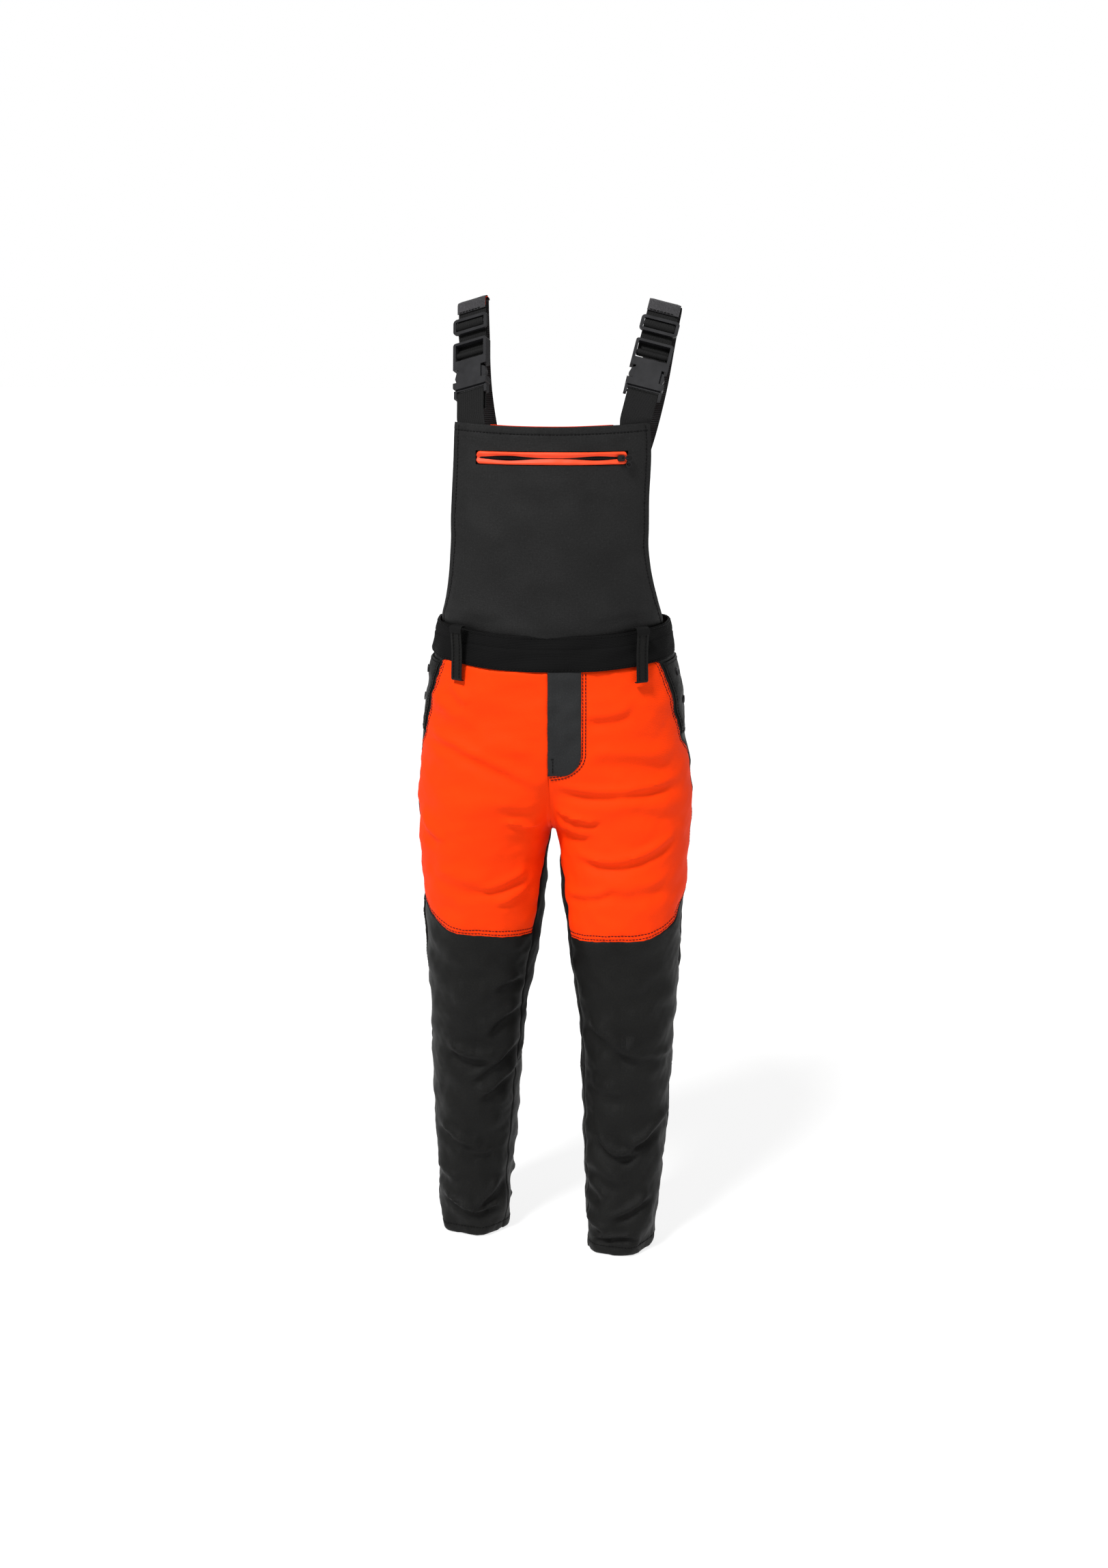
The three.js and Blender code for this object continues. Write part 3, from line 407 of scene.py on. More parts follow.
class Panel:
    """A sewn panel: a grid of points, rows upward and columns across, with its normals, in millimetres."""

    def __init__(self, points, facing):
        self.points = points
        self.facing = np.asarray(facing, float)
        self.measure()

    def measure(self):
        p = self.points
        n = unit(np.cross(np.gradient(p, axis=1), np.gradient(p, axis=0)))
        self.flipped = bool((n @ self.facing).sum() < 0)
        self.normals = -n if self.flipped else n
        step_u = np.linalg.norm(np.diff(p, axis=1), axis=2)
        step_v = np.linalg.norm(np.diff(p, axis=0), axis=2)
        self.u = np.concatenate([np.zeros((len(p), 1)), np.cumsum(step_u, axis=1)], axis=1)
        self.v = np.concatenate([np.zeros((1, p.shape[1])), np.cumsum(step_v, axis=0)], axis=0)

    def edges(self):
        """Distance of every point from the left, right, bottom and top edges."""
        return self.u, self.u[:, -1:] - self.u, self.v, self.v[-1:] - self.v

    def lift(self, amount):
        self.points = self.points + self.normals * np.asarray(amount)[..., None]
        self.measure()

    def sew(self, roll=1.5, rows=(), pucker=0.3, seed=1, tuck=(0, 0, 0, 0)):
        """Rolls the edges in, sinks the stitch lines and puckers the cloth next to them.

        rows are (edge, distance) of stitch lines, edge being 0 to 3 for left, right, bottom and top;
        tuck is how far each edge carries on under its neighbour."""
        edges = self.edges()
        amount = np.zeros(self.u.shape)
        for k, distance in enumerate(edges):
            if tuck[k]:
                amount -= 2.3 * (1 - smooth(distance, tuck[k] * 0.6, tuck[k] + 3))
            else:
                amount -= roll * np.exp(-distance / 3.0)
        for k, place in rows:
            distance = edges[k]
            length = self.v if k < 2 else self.u
            shiver = ripple(length, distance * 0.4, waves(seed + k, 6, 9, 22))
            amount -= 0.55 * np.exp(-(((distance - place) / 1.5) ** 2))
            amount += pucker * shiver * np.exp(-(((distance - place) / 6.0) ** 2))
        self.lift(amount)

    def sample(self, i, j):
        """Points and normals at fractional column i and row j."""
        i = np.clip(i, 0, self.points.shape[1] - 1.0001)
        j = np.clip(j, 0, self.points.shape[0] - 1.0001)
        i0, j0 = i.astype(int), j.astype(int)
        a, b = (i - i0)[:, None], (j - j0)[:, None]

        def mixed(grid):
            low = grid[j0, i0] * (1 - a) + grid[j0, i0 + 1] * a
            high = grid[j0 + 1, i0] * (1 - a) + grid[j0 + 1, i0 + 1] * a
            return low * (1 - b) + high * b

        return mixed(self.points), unit(mixed(self.normals))

    def line(self, edge, place, start=0.0, end=1.0):
        """A line on the panel at a distance from an edge, between two shares of its length."""
        rows, columns = self.u.shape
        if edge < 2:
            j = np.linspace(start, end, 240) * (rows - 1)
            i = crossing(self.u[np.round(j).astype(int)], place, edge == 0)
        else:
            i = np.linspace(start, end, 240) * (columns - 1)
            j = crossing(self.v[:, np.round(i).astype(int)].T, place, edge == 2)
        return self.sample(i, j)

    def build(self, name, material, thick, blended=False, holes=None):
        """A closed mesh of the panel's thickness, left open where holes is true."""
        rows, columns = self.u.shape
        inner = self.points - self.normals * thick
        points = np.concatenate([self.points.reshape(-1, 3), inner.reshape(-1, 3)])
        count = rows * columns
        uv = np.stack([self.u - self.u[:, -1:] / 2, self.v], -1).reshape(-1, 2)
        faces = []
        keep = np.ones((rows - 1, columns - 1), bool) if holes is None else ~holes
        # Edges in the order they are met, each in the direction of its face.
        used = {}
        for j, i in zip(*np.nonzero(keep)):
            a = j * columns + i
            quad = (a, a + 1, a + columns + 1, a + columns)
            faces.append(quad)
            faces.append(tuple(k + count for k in reversed(quad)))
            for s, t in zip(quad, quad[1:] + quad[:1]):
                used[(s, t)] = True
        for s, t in used:
            if (t, s) not in used:
                faces.append((t, s, s + count, t + count))
        if self.flipped:
            faces = [tuple(reversed(f)) for f in faces]
        uv = np.concatenate([uv, uv])
        if holes is not None:
            seen = sorted({k for f in faces for k in f})
            index = {k: n for n, k in enumerate(seen)}
            faces = [tuple(index[k] for k in f) for f in faces]
            points, uv = points[seen], uv[seen]
        return make_piece(name, points, faces, material, "garment", uv, blended=blended)

    def area(self):
        """Area of the surface in square metres."""
        p = self.points
        a = np.cross(p[1:, :-1] - p[:-1, :-1], p[:-1, 1:] - p[:-1, :-1])
        b = np.cross(p[1:, :-1] - p[1:, 1:], p[:-1, 1:] - p[1:, 1:])
        return float((np.linalg.norm(a, axis=2).sum() + np.linalg.norm(b, axis=2).sum()) / 2e6)


THREADS = {}


STITCH_LENGTH, STITCH_LIFT = 4.8, 0.25


def stitch(path, thread="dark_thread", body="garment", gap=0.4, width=1.4):
    """Adds a run of stitches along (points, normals)."""
    points, normals = path
    walked = np.concatenate([[0], np.cumsum(np.linalg.norm(np.diff(points, axis=0), axis=1))])
    places = np.arange(gap, walked[-1] - STITCH_LENGTH, STITCH_LENGTH + gap)

    def at(s):
        spot = np.stack([np.interp(s, walked, points[:, k]) for k in range(3)], -1)
        up = unit(np.stack([np.interp(s, walked, normals[:, k]) for k in range(3)], -1))
        return spot + up * STITCH_LIFT, up

    (a, up), (b, _) = at(places), at(places + STITCH_LENGTH)
    THREADS.setdefault((thread, body), []).append((a, b, up, width))


def make_threads():
    """One mesh of all the stitches of each thread: every stitch is a short tapered bead."""
    turns = np.linspace(0, 2 * math.pi, 6, endpoint=False)
    for (thread, body), runs in THREADS.items():
        points, faces, uv = [], [], []
        for a, b, up, width in runs:
            for p, q, n in zip(a, b, up):
                along_it = unit(q - p)
                side = unit(np.cross(along_it, n))
                base = len(points)
                points.append(p - n * 0.5)
                for share in (0.18, 0.82):
                    centre = lerp(p, q, share)
                    for t in turns:
                        points.append(centre + (side * math.cos(t) + n * math.sin(t) * 0.8) * width / 2)
                points.append(q - n * 0.5)
                uv += [(0, 0)] + [(k % 6 * 0.3, 0.6 + 2 * (k // 6)) for k in range(12)] + [(0, 3)]
                for k in range(6):
                    m = (k + 1) % 6
                    faces.append((base, base + 1 + m, base + 1 + k))
                    faces.append((base + 1 + k, base + 1 + m, base + 7 + m, base + 7 + k))
                    faces.append((base + 13, base + 7 + k, base + 7 + m))
        make_piece(f"{body}_{thread}_stitches", np.array(points), faces, thread, body, uv, sharp=80)


def declare_sheet(panel):
    """Works out the panel's area, which is not kept."""
    panel.area()


def make_sheet(panel, name, material, thick, node):
    """Builds a panel as a piece of cloth that stands for a CAD node."""
    piece = panel.build(name, material, thick)
    if node:
        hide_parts(node)
    declare_sheet(panel)
    return piece


def topstitch(panel, rows, start=0.04, end=0.96, thread="dark_thread", body="garment"):
    """Stitch lines on a panel; rows are (edge, distance) as for Panel.sew."""
    for edge, place in rows:
        stitch(panel.line(edge, place, start, end), thread, body)


# ------------------------------------------------------------------ the lower body's surface
def body_point(side, angle, z, out=0.0):
    centre_x, half_x, half_y, centre_y = (along(LEG, c, z) for c in (1, 2, 3, 4))
    cos, sin = np.cos(np.radians(angle)), np.sin(np.radians(angle))
    x = np.maximum(0.25, centre_x + (half_x + out) * bend(cos))
    low = np.maximum(0, 1 - z / 500)
    stance = STANCE_Y * np.maximum(0, 1 - z / CROTCH_Z)
    y = centre_y - (half_y + out) * bend(sin) - side * stance
    rise = WAIST_RISE * smooth(z, RISE_FOOT_Z, TROUSER_TOP_Z) * cos**2
    return np.stack([side * x - STANCE_X * low, y, z + rise + 0 * x], -1)


def inner_angle(z):
    z = np.asarray(z, float)
    below = lerp(INSEAM_ANGLE, 180, smooth(z, INSEAM_TURN_Z, CROTCH_Z))
    ratio = np.clip(along(LEG, 1, z) / along(LEG, 2, z), 0, 1)
    above = np.degrees(np.arccos(-(ratio ** (SQUARENESS / 2))))
    return np.where(z <= CROTCH_Z, below, above)


def back_start_angle(z):
    return np.where(np.asarray(z) <= CROTCH_Z, inner_angle(z), 360 - inner_angle(z))


def outer_angle(z):
    z = np.asarray(z, float)
    slant = lerp(
        POCKET_CORNER_ANGLE, POCKET_TOP_ANGLE, (z - POCKET_CORNER_Z) / (TROUSER_TOP_Z - POCKET_CORNER_Z)
    )
    rise = POCKET_CORNER_ANGLE * (z - POCKET_BOTTOM_Z) / (POCKET_CORNER_Z - POCKET_BOTTOM_Z)
    return np.where(z > POCKET_CORNER_Z, slant, np.maximum(0, rise))


def knee_seam(u):
    return 536 + 62 * np.maximum(0, (u - 0.45) / 0.55) ** 2 - 8 * np.maximum(0, 1 - u / 0.4)


# Folds: x and z of both ends, how far the middle bows up, width and height of the ridge.
FRONT_FOLDS = [
    # wearer's right thigh
    (-196, 858, -14, 784, 8, 9, 3.4),
    (-190, 915, -100, 880, -6, 13, 2.2),
    (-150, 935, -120, 905, 0, 10, 2.0),
    (-205, 728, -160, 690, -3, 9, 3.0),
    (-66, 727, -10, 716, -3, 5, 2.6),
    (-80, 760, -18, 752, -5, 9, 1.8),
    (-112, 616, -36, 644, -6, 7, 2.8),
    (-86, 592, -34, 616, -4, 6, 2.2),
    (-180, 650, -90, 628, -8, 14, 2.2),
    (-110, 845, -20, 838, 6, 14, 1.8),
    # wearer's left thigh
    (6, 783, 196, 792, -9, 8, 3.4),
    (4, 742, 78, 730, -4, 6, 3.2),
    (10, 716, 60, 704, -3, 6, 2.0),
    (52, 896, 126, 906, -6, 8, 2.4),
    (64, 838, 186, 822, 5, 12, 2.6),
    (36, 672, 190, 706, -20, 8, 3.6),
    (22, 606, 96, 624, -6, 7, 2.6),
    (80, 632, 180, 640, -12, 12, 2.4),
    (96, 760, 190, 742, 4, 13, 2.0),
    # wearer's right shin
    (-168, 344, -86, 326, -7, 10, 5.2),
    (-136, 282, -56, 350, -4, 7, 3.8),
    (-128, 246, -58, 306, -3, 7, 3.4),
    (-106, 366, -50, 412, 5, 8, 3.8),
    (-90, 442, -44, 460, 4, 7, 2.8),
    (-184, 200, -116, 163, -4, 9, 4.6),
    (-130, 262, -100, 266, 0, 6, 1.8),
    (-140, 152, -96, 156, -2, 6, 2.4),
    (-178, 76, -120, 52, -4, 7, 4.6),
    (-136, 50, -88, 58, -4, 5, 4.0),
    (-124, 56, -86, 104, -3, 7, 3.6),
    (-190, 120, -150, 104, -2, 10, 2.6),
    (-160, 430, -100, 420, -6, 16, 2.4),
    (-170, 500, -90, 492, -8, 16, 1.8),
    # wearer's left shin
    (60, 398, 136, 348, -4, 12, 3.8),
    (72, 210, 152, 184, -22, 8, 4.6),
    (118, 188, 186, 244, -6, 8, 4.2),
    (104, 172, 160, 210, -3, 5, 2.6),
    (64, 158, 124, 128, -4, 12, 3.2),
    (92, 66, 160, 106, -4, 7, 4.0),
    (64, 26, 140, 34, 6, 5, 4.4),
    (50, 62, 92, 44, -2, 8, 3.2),
    (100, 352, 196, 344, -5, 9, 2.4),
    (60, 300, 120, 280, -5, 12, 2.0),
    (70, 470, 160, 460, -8, 16, 2.2),
    (56, 128, 90, 96, -2, 9, 2.8),
]
# The same for the back, where x is measured on the wearer's left and mirrored with a small change.
BACK_FOLDS = [
    (20, 742, 150, 786, -14, 10, 4.2),
    (24, 706, 160, 732, -12, 9, 4.0),
    (30, 672, 120, 668, -8, 8, 3.0),
    (70, 820, 180, 850, -8, 14, 2.2),
    (44, 560, 150, 590, -10, 12, 2.6),
    (40, 452, 180, 440, -12, 9, 4.4),
    (50, 424, 170, 404, -10, 8, 4.0),
    (44, 396, 150, 372, -6, 8, 3.4),
    (60, 480, 190, 486, -8, 10, 3.0),
    (56, 342, 170, 330, -6, 12, 2.6),
    (50, 240, 160, 262, -8, 11, 3.2),
    (60, 160, 176, 140, -8, 10, 3.4),
    (56, 96, 150, 112, -6, 8, 4.0),
    (64, 46, 170, 40, 5, 6, 4.2),
    (50, 66, 110, 40, -4, 6, 3.6),
]


def fold_height(x, z, folds):
    """Height of a set of folds: each is a ridge with a hollow tucked under it."""
    total = np.zeros(np.shape(x))
    for x0, z0, x1, z1, bow, width, height in folds:
        length = math.hypot(x1 - x0, z1 - z0)
        ux, uz = (x1 - x0) / length, (z1 - z0) / length
        if ux < 0:
            ux, uz, x0, z0 = -ux, -uz, x1, z1
        t = ((x - x0) * ux + (z - z0) * uz) / length
        distance = -(x - x0) * uz + (z - z0) * ux - bow * 4 * t * (1 - t)
        ends = smooth(t, -0.04, 0.2) * (1 - smooth(t, 0.8, 1.04))
        ridge = np.exp(-((distance / width) ** 2))
        hollow = np.exp(-(((distance + 1.5 * width) / (1.15 * width)) ** 2))
        total = total + height * ends * (ridge - 0.85 * hollow)
    return total


FOLD_STRENGTH = 1.6
SLOW_WAVES, MIDDLE_WAVES, FINE_WAVES = waves(11, 9, 110, 260), waves(12, 12, 45, 100), waves(13, 14, 16, 38)


def body_lift(side, angle, place):
    """How far the worn cloth stands off its plain surface."""
    x, z = place[..., 0], place[..., 2]
    sin = np.sin(np.radians(angle))
    front, back = smooth(sin, -0.1, 0.3), smooth(-sin, 0.0, 0.35)
    round_it = side * 37 + np.radians(angle) * 95
    total = FOLD_STRENGTH * front * fold_height(x, z, FRONT_FOLDS)
    mirrored = np.abs(x) + (0 if side > 0 else 6) * np.sin(z / 60)
    total = total + back * fold_height(mirrored, z + (0 if side > 0 else 9), BACK_FOLDS)
    total = total + 1.5 * ripple(round_it * 0.7, z, SLOW_WAVES)
    total = total + 0.9 * ripple(round_it, z * 1.25, MIDDLE_WAVES)
    total = total + 0.26 * ripple(round_it, z * 1.3, FINE_WAVES)
    shin = 1 - smooth(z, 60, 130)
    total = total + 2.0 * shin * np.sin(np.radians(angle) * 5 + side * 1.3 + z / 26)
    centre = smooth(np.abs(x), 0, 16)
    above = smooth(z, CROTCH_Z - 30, CROTCH_Z)
    total = total * lerp(1, 0.25 + 0.75 * centre, above)
    crease = 5.0 * np.exp(-(np.abs(x) / 15) ** 2) * smooth(z, 670, 700) * (1 - smooth(z, 740, 795)) * front
    slider_room = 2.6 * np.exp(-(np.abs(x) / 10) ** 2) * smooth(z, 785, 805) * front
    return total - 1.2 - crease + slider_room


def worn(side, angle, z, out=0.0):
    """Points of the worn cloth, and of a layer that lies out millimetres off it."""
    angle, z = np.broadcast_arrays(np.asarray(angle, float), np.asarray(z, float))
    place = body_point(side, angle, z)
    turned = body_point(side, angle + 1.0, z) - body_point(side, angle - 1.0, z)
    rise = body_point(side, angle, z + 3) - body_point(side, angle, z - 3)
    normal = unit(np.cross(turned, rise)) * -side
    near_centre = (np.abs(place[..., 0]) < 0.6) & (z > CROTCH_Z)
    sign = np.where(np.sin(np.radians(angle)) > 0, -1.0, 1.0)
    straight = np.stack([0 * z, sign, 0 * z], -1)
    normal = np.where(near_centre[..., None], straight, normal)
    lift = body_lift(side, angle, place) + out
    moved = place + normal * np.asarray(lift)[..., None]
    keep_off = np.where(z > CROTCH_Z - 40, 0.15, -1e3)
    moved[..., 0] = side * np.maximum(side * moved[..., 0], keep_off)
    # The left side's seam edge laps a little past the centre, so the seam is closed.
    if side > 0:
        lap = 1.1 * (1 - smooth(place[..., 0], 0.25, 3.0)) * (z > CROTCH_Z - 40)
        moved[..., 0] = moved[..., 0] - lap
    return moved


def grid(us, vs):
    return np.meshgrid(us, vs)


FRONT, BACK = (0, -1, 0), (0, 1, 0)
LEFT_EDGE, RIGHT_EDGE, BOTTOM, TOP = 0, 1, 2, 3


def make_front_cloths(name, side):
    # Orange thigh, from the inner edge (u 0) to the side seam or pocket mouth (u 1).
    u, v = grid(spaced(230, 4.6), spaced(400, 4.6))
    z = lerp(knee_seam(u) - 1.0, TROUSER_TOP_Z + 1, v)
    thigh = Panel(worn(side, lerp(inner_angle(z) - SEAM_LAP, outer_angle(z) + 0.2, u), z), FRONT)
    hem = [(BOTTOM, 4.5), (BOTTOM, 11.0)]
    thigh.sew(1.6, [(RIGHT_EDGE, 9.0), (RIGHT_EDGE, 3.0), *hem], seed=3, tuck=(0, 0, 0, 3))
    thigh_name = f"{name}_thigh_cloth"
    make_sheet(thigh, thigh_name, "orange", 1.5, f"{name}_thigh_panel")
    topstitch(thigh, hem, 0.005, 0.995, "navy_thread")
    topstitch(thigh, [(RIGHT_EDGE, 8.6)], 0.0, 0.985, "navy_thread")
    topstitch(thigh, [(RIGHT_EDGE, 3.0)], 0.62, 0.985, "navy_thread")

    # Dark shin, which runs up under the thigh's hem.
    u, v = grid(spaced(190, 4.6), spaced(560, 4.4))
    z = lerp(0, knee_seam(u) + 7, v)
    shin = Panel(worn(side, lerp(inner_angle(z) - SEAM_LAP, 0.2, u), z), FRONT)
    shin.sew(1.4, [(BOTTOM, 14.0), (BOTTOM, 16.5)], seed=5, tuck=(0, 0, 0, 7))
    make_sheet(shin, f"{name}_shin_cloth", "charcoal", 1.4, f"{name}_shin_panel")
    topstitch(shin, [(BOTTOM, 15.0)], 0.005, 0.995)


def make_back_cloths(name, side):
    """Stretch back of the leg with the seat, and the calf piece that hangs below it."""
    for part, low, high in (("seat", CALF_TOP_Z - 4, TROUSER_TOP_Z + 1), ("calf", 0, CALF_TOP_Z)):
        seat = part == "seat"
        u, v = grid(spaced(330, 5.5), spaced(high - low - (4 if seat else 0), 4.8))
        z = lerp(low, high, v)
        start = back_start_angle(z)
        lap = np.where(z <= CROTCH_Z, 2.6, -0.1)
        angle = lerp(start - lap, 362.4, u)
        out = -2.6 * (1 - smooth(angle - start, -1.5, 2.5)) * (z <= CROTCH_Z)
        out = out - 2.6 * smooth(angle, 357.5, 361)
        if seat:
            out = out - 1.8 * (1 - smooth(z, CALF_TOP_Z - 4, CALF_TOP_Z + 3))
        back = Panel(worn(side, angle, z, out), BACK)
        back.sew(1.0, [(TOP, 6.0)] if seat else [(TOP, 5.0), (BOTTOM, 15.0)], seed=9)
        material, node = ("stretch", f"{name}_back_leg_panel") if seat else ("charcoal", None)
        make_sheet(back, f"{name}_{part}_cloth", material, 1.3, node)
        if seat:
            topstitch(back, [(TOP, 6.0)], 0.01, 0.99)
        else:
            topstitch(back, [(TOP, 4.0), (BOTTOM, 15.0)], 0.02, 0.98)


def make_side_cloth(name, side):
    """Side panel that shows behind the slanted pocket mouth."""
    u, v = grid(spaced(70, 4.5), spaced(145, 4.5))
    z = lerp(POCKET_BOTTOM_Z + 2, TROUSER_TOP_Z + 1, v)
    angle = lerp(outer_angle(z) + 2.0, -0.6, u)
    out = -2.4 * smooth(angle - outer_angle(z), -2.0, 0.5) - 0.6
    facing = Panel(worn(side, angle, z, out), (side, 0, 0))
    facing.sew(0.4)
    node = f"{name}_pocket_facing"
    make_sheet(facing, f"{name}_side_cloth", "charcoal", 1.2, node)


def make_inside_cloths(name, side):
    """Lining tube, pad and pocket bag, seen only through the hem and the waist."""
    u, v = grid(np.linspace(0, 1, 73), np.linspace(0, 1, 60))
    z = lerp(*LINING_Z, v)
    soft = 0.8 * np.sin(u * 2 * math.pi * 7 + z / 40)
    tube = worn(side, 360 * u, z, -11.4 + soft)
    make_tube(f"{name}_leg_lining_cloth", tube, "lining", 1.0, f"{name}_leg_lining")
    u, v = grid(spaced(150, 6), spaced(840, 6))
    z = lerp(*PAD_Z, v)
    across = lerp(1 / 8, 7 / 8, u)
    quilt = 0.7 * np.cos(2 * math.pi * z / 70) * np.cos(2 * math.pi * across * 4)
    pad = Panel(worn(side, lerp(inner_angle(z), outer_angle(z), across), z, -4.4 + quilt * 0.8), FRONT)
    piece = pad.build(f"{name}_cut_pad", "pad", 4.6)
    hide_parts(f"{name}_cut_insert")
    u, v = grid(spaced(110, 7), spaced(175, 7))
    bag = Panel(worn(side, lerp(62, 12, u), lerp(*POCKET_BAG_Z, v), -14.4), FRONT)
    node = f"{name}_pocket_bag"
    make_sheet(bag, f"{name}_pocket_bag_cloth", "lining", 1.4, node)


def make_leg(name, side):
    make_front_cloths(name, side)
    make_back_cloths(name, side)
    make_side_cloth(name, side)
    make_inside_cloths(name, side)


def make_tube(name, points, material, thick, replaced):
    """A closed tube of cloth from rings of points whose first and last columns coincide."""
    rows, columns = points.shape[:2]
    columns -= 1
    ring = points[:, :-1]
    centre = ring.mean(axis=1, keepdims=True)
    inner = ring + unit((centre - ring) * (1, 1, 0)) * thick
    both = np.concatenate([ring.reshape(-1, 3), inner.reshape(-1, 3)])
    count = rows * columns
    faces = []
    outward = np.cross(ring[0, 1] - ring[0, 0], ring[1, 0] - ring[0, 0]) @ (ring[0, 0] - centre[0, 0]) > 0
    for j in range(rows - 1):
        for i in range(columns):
            k = (i + 1) % columns
            a, b = j * columns + i, j * columns + k
            d, c = a + columns, b + columns
            faces += [(a, b, c, d), (a + count, d + count, c + count, b + count)]
            if j == 0:
                faces.append((b, a, a + count, b + count))
            if j == rows - 2:
                faces.append((d, c, c + count, d + count))
    if not outward:
        faces = [tuple(reversed(f)) for f in faces]
    girth = np.linalg.norm(np.diff(points[0], axis=0), axis=1).sum()
    height = np.linalg.norm(np.diff(points[:, 0], axis=0), axis=1).sum()
    around, upward = grid(np.linspace(0, girth, columns), np.linspace(0, height, rows))
    uv = np.stack([around, upward], -1).reshape(-1, 2)
    piece = make_piece(name, both, faces, material, "garment", np.concatenate([uv, uv]))
    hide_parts(replaced)


# ------------------------------------------------------------------ waistband
def band_point(angle, z, out):
    t = (z - TROUSER_TOP_Z) / (BAND_TOP_Z + 0.4 - TROUSER_TOP_Z)
    half_x = lerp(float(along(LEG, 2, TROUSER_TOP_Z)), BAND_TOP_HALF[0], t) + out
    half_y = lerp(float(along(LEG, 3, TROUSER_TOP_Z)), BAND_TOP_HALF[1], t) + out
    cos, sin = np.cos(np.radians(angle)), np.sin(np.radians(angle))
    return np.stack([half_x * bend(cos), -half_y * bend(sin), z + WAIST_RISE * cos**2], -1)


def band_rise(x):
    """How far the top of the band has risen at a distance from the centre line."""
    return WAIST_RISE * np.minimum(1, np.abs(x) / BAND_TOP_HALF[0]) ** SQUARENESS


def make_waistband():
    for name, start, end, facing, width in (
        ("front", -8, 188, FRONT, 470),
        ("back", 188.3, 351.7, BACK, 400),
    ):
        u, v = grid(spaced(width, 3.4), spaced(51, 1.6, FEW_EDGE_LINES))
        z = lerp(TROUSER_TOP_Z - 0.4, BAND_TOP_Z, v)
        angle = lerp(start, end, u)
        length = u * width
        gather = 0.25 * np.sin(2 * math.pi * length / 3.4 * 0.5 + 3 * np.sin(length / 40))
        sway = 0.8 * ripple(length, z * 2.0, waves(31, 8, 40, 130))
        seam = -0.9 * np.exp(-(((z - BAND_SEAM_Z) / 1.3) ** 2))
        lower = 0.7 * (1 - smooth(z, BAND_SEAM_Z - 2.5, BAND_SEAM_Z + 1.5))
        panel = Panel(band_point(angle, z, 0.9 + gather + sway + seam + lower), facing)
        panel.sew(1.2, [(BOTTOM, 2.5)], seed=17)
        make_sheet(panel, f"{name}_waist_elastic", "band", 2.6, f"{name}_waistband")
        topstitch(panel, [(BOTTOM, 2.6), (TOP, 3.2)], 0.005, 0.995)


# ------------------------------------------------------------------ bib and back panel
def bib_y(x, z):
    x = np.abs(x)
    waist = -BAND_TOP_HALF[1] * np.sqrt(1 - np.minimum(1, x / 176) ** 2) - 1
    chest = BIB_AXIS_Y - np.sqrt(BIB_RADIUS**2 - x**2)
    return lerp(waist, chest, smooth(z, 1011.4 - 25, 1195))


BIB_FOLDS = [
    (-120, 1308, -60, 1286, -4, 8, 1.6),
    (118, 1308, 40, 1290, -4, 9, 1.6),
    (-140, 1190, -60, 1150, -8, 16, 2.2),
    (140, 1180, 70, 1136, -8, 16, 2.2),
    (-60, 1240, 40, 1236, -6, 16, 1.4),
    (-150, 1060, -70, 1040, -4, 10, 2.0),
    (150, 1062, 60, 1038, -4, 10, 2.0),
    (-40, 1100, 50, 1092, -6, 18, 1.6),
    (60, 1232, 100, 1210, -2, 9, 1.4),
]
BIB_WAVES = waves(41, 10, 60, 190)


def risen(x, z):
    """Heights on the bib, lifted near its foot as the band rises towards the sides."""
    return z + band_rise(x) * (1 - smooth(z, BIB_GRID_Z, BIB_LEVEL_Z)) ** 2


def bib_centre(z):
    return BIB_LEAN * smooth(z, 1150, BIB_TOP_Z)


def bib_lift(x, z):
    """Soft folds of the bib, held flat round the zip and tucked in behind the waistband."""
    near_zip = np.exp(-(((z - ZIP_Z) / 22) ** 4)) * smooth(ZIP_RIGHT + 14 - np.abs(x), 0, 10)
    lift = fold_height(x, z, BIB_FOLDS) + 1.0 * ripple(x, z, BIB_WAVES)
    above_band = smooth(z - band_rise(x), 1012, 1040)
    return lift * (1 - near_zip) * above_band - 2.2 * (1 - smooth(z - band_rise(x), 1010, 1024))


def bib_surface(x, z, out=0.0):
    place = np.stack([x + 0 * z, bib_y(x, z), z + 0 * x], -1)
    dx = np.stack([np.ones_like(x), (bib_y(x + 1, z) - bib_y(x - 1, z)) / 2, 0 * x], -1)
    dz = np.stack([0 * x, (bib_y(x, z + 1) - bib_y(x, z - 1)) / 2, np.ones_like(x)], -1)
    normal = unit(np.cross(dx, dz))
    return place + normal * np.asarray(bib_lift(x, z) + out)[..., None]


def merged(*lists):
    """Sorted places without near doubles."""
    values = np.sort(np.concatenate(lists))
    return values[np.concatenate([[True], np.diff(values) > 0.45])]


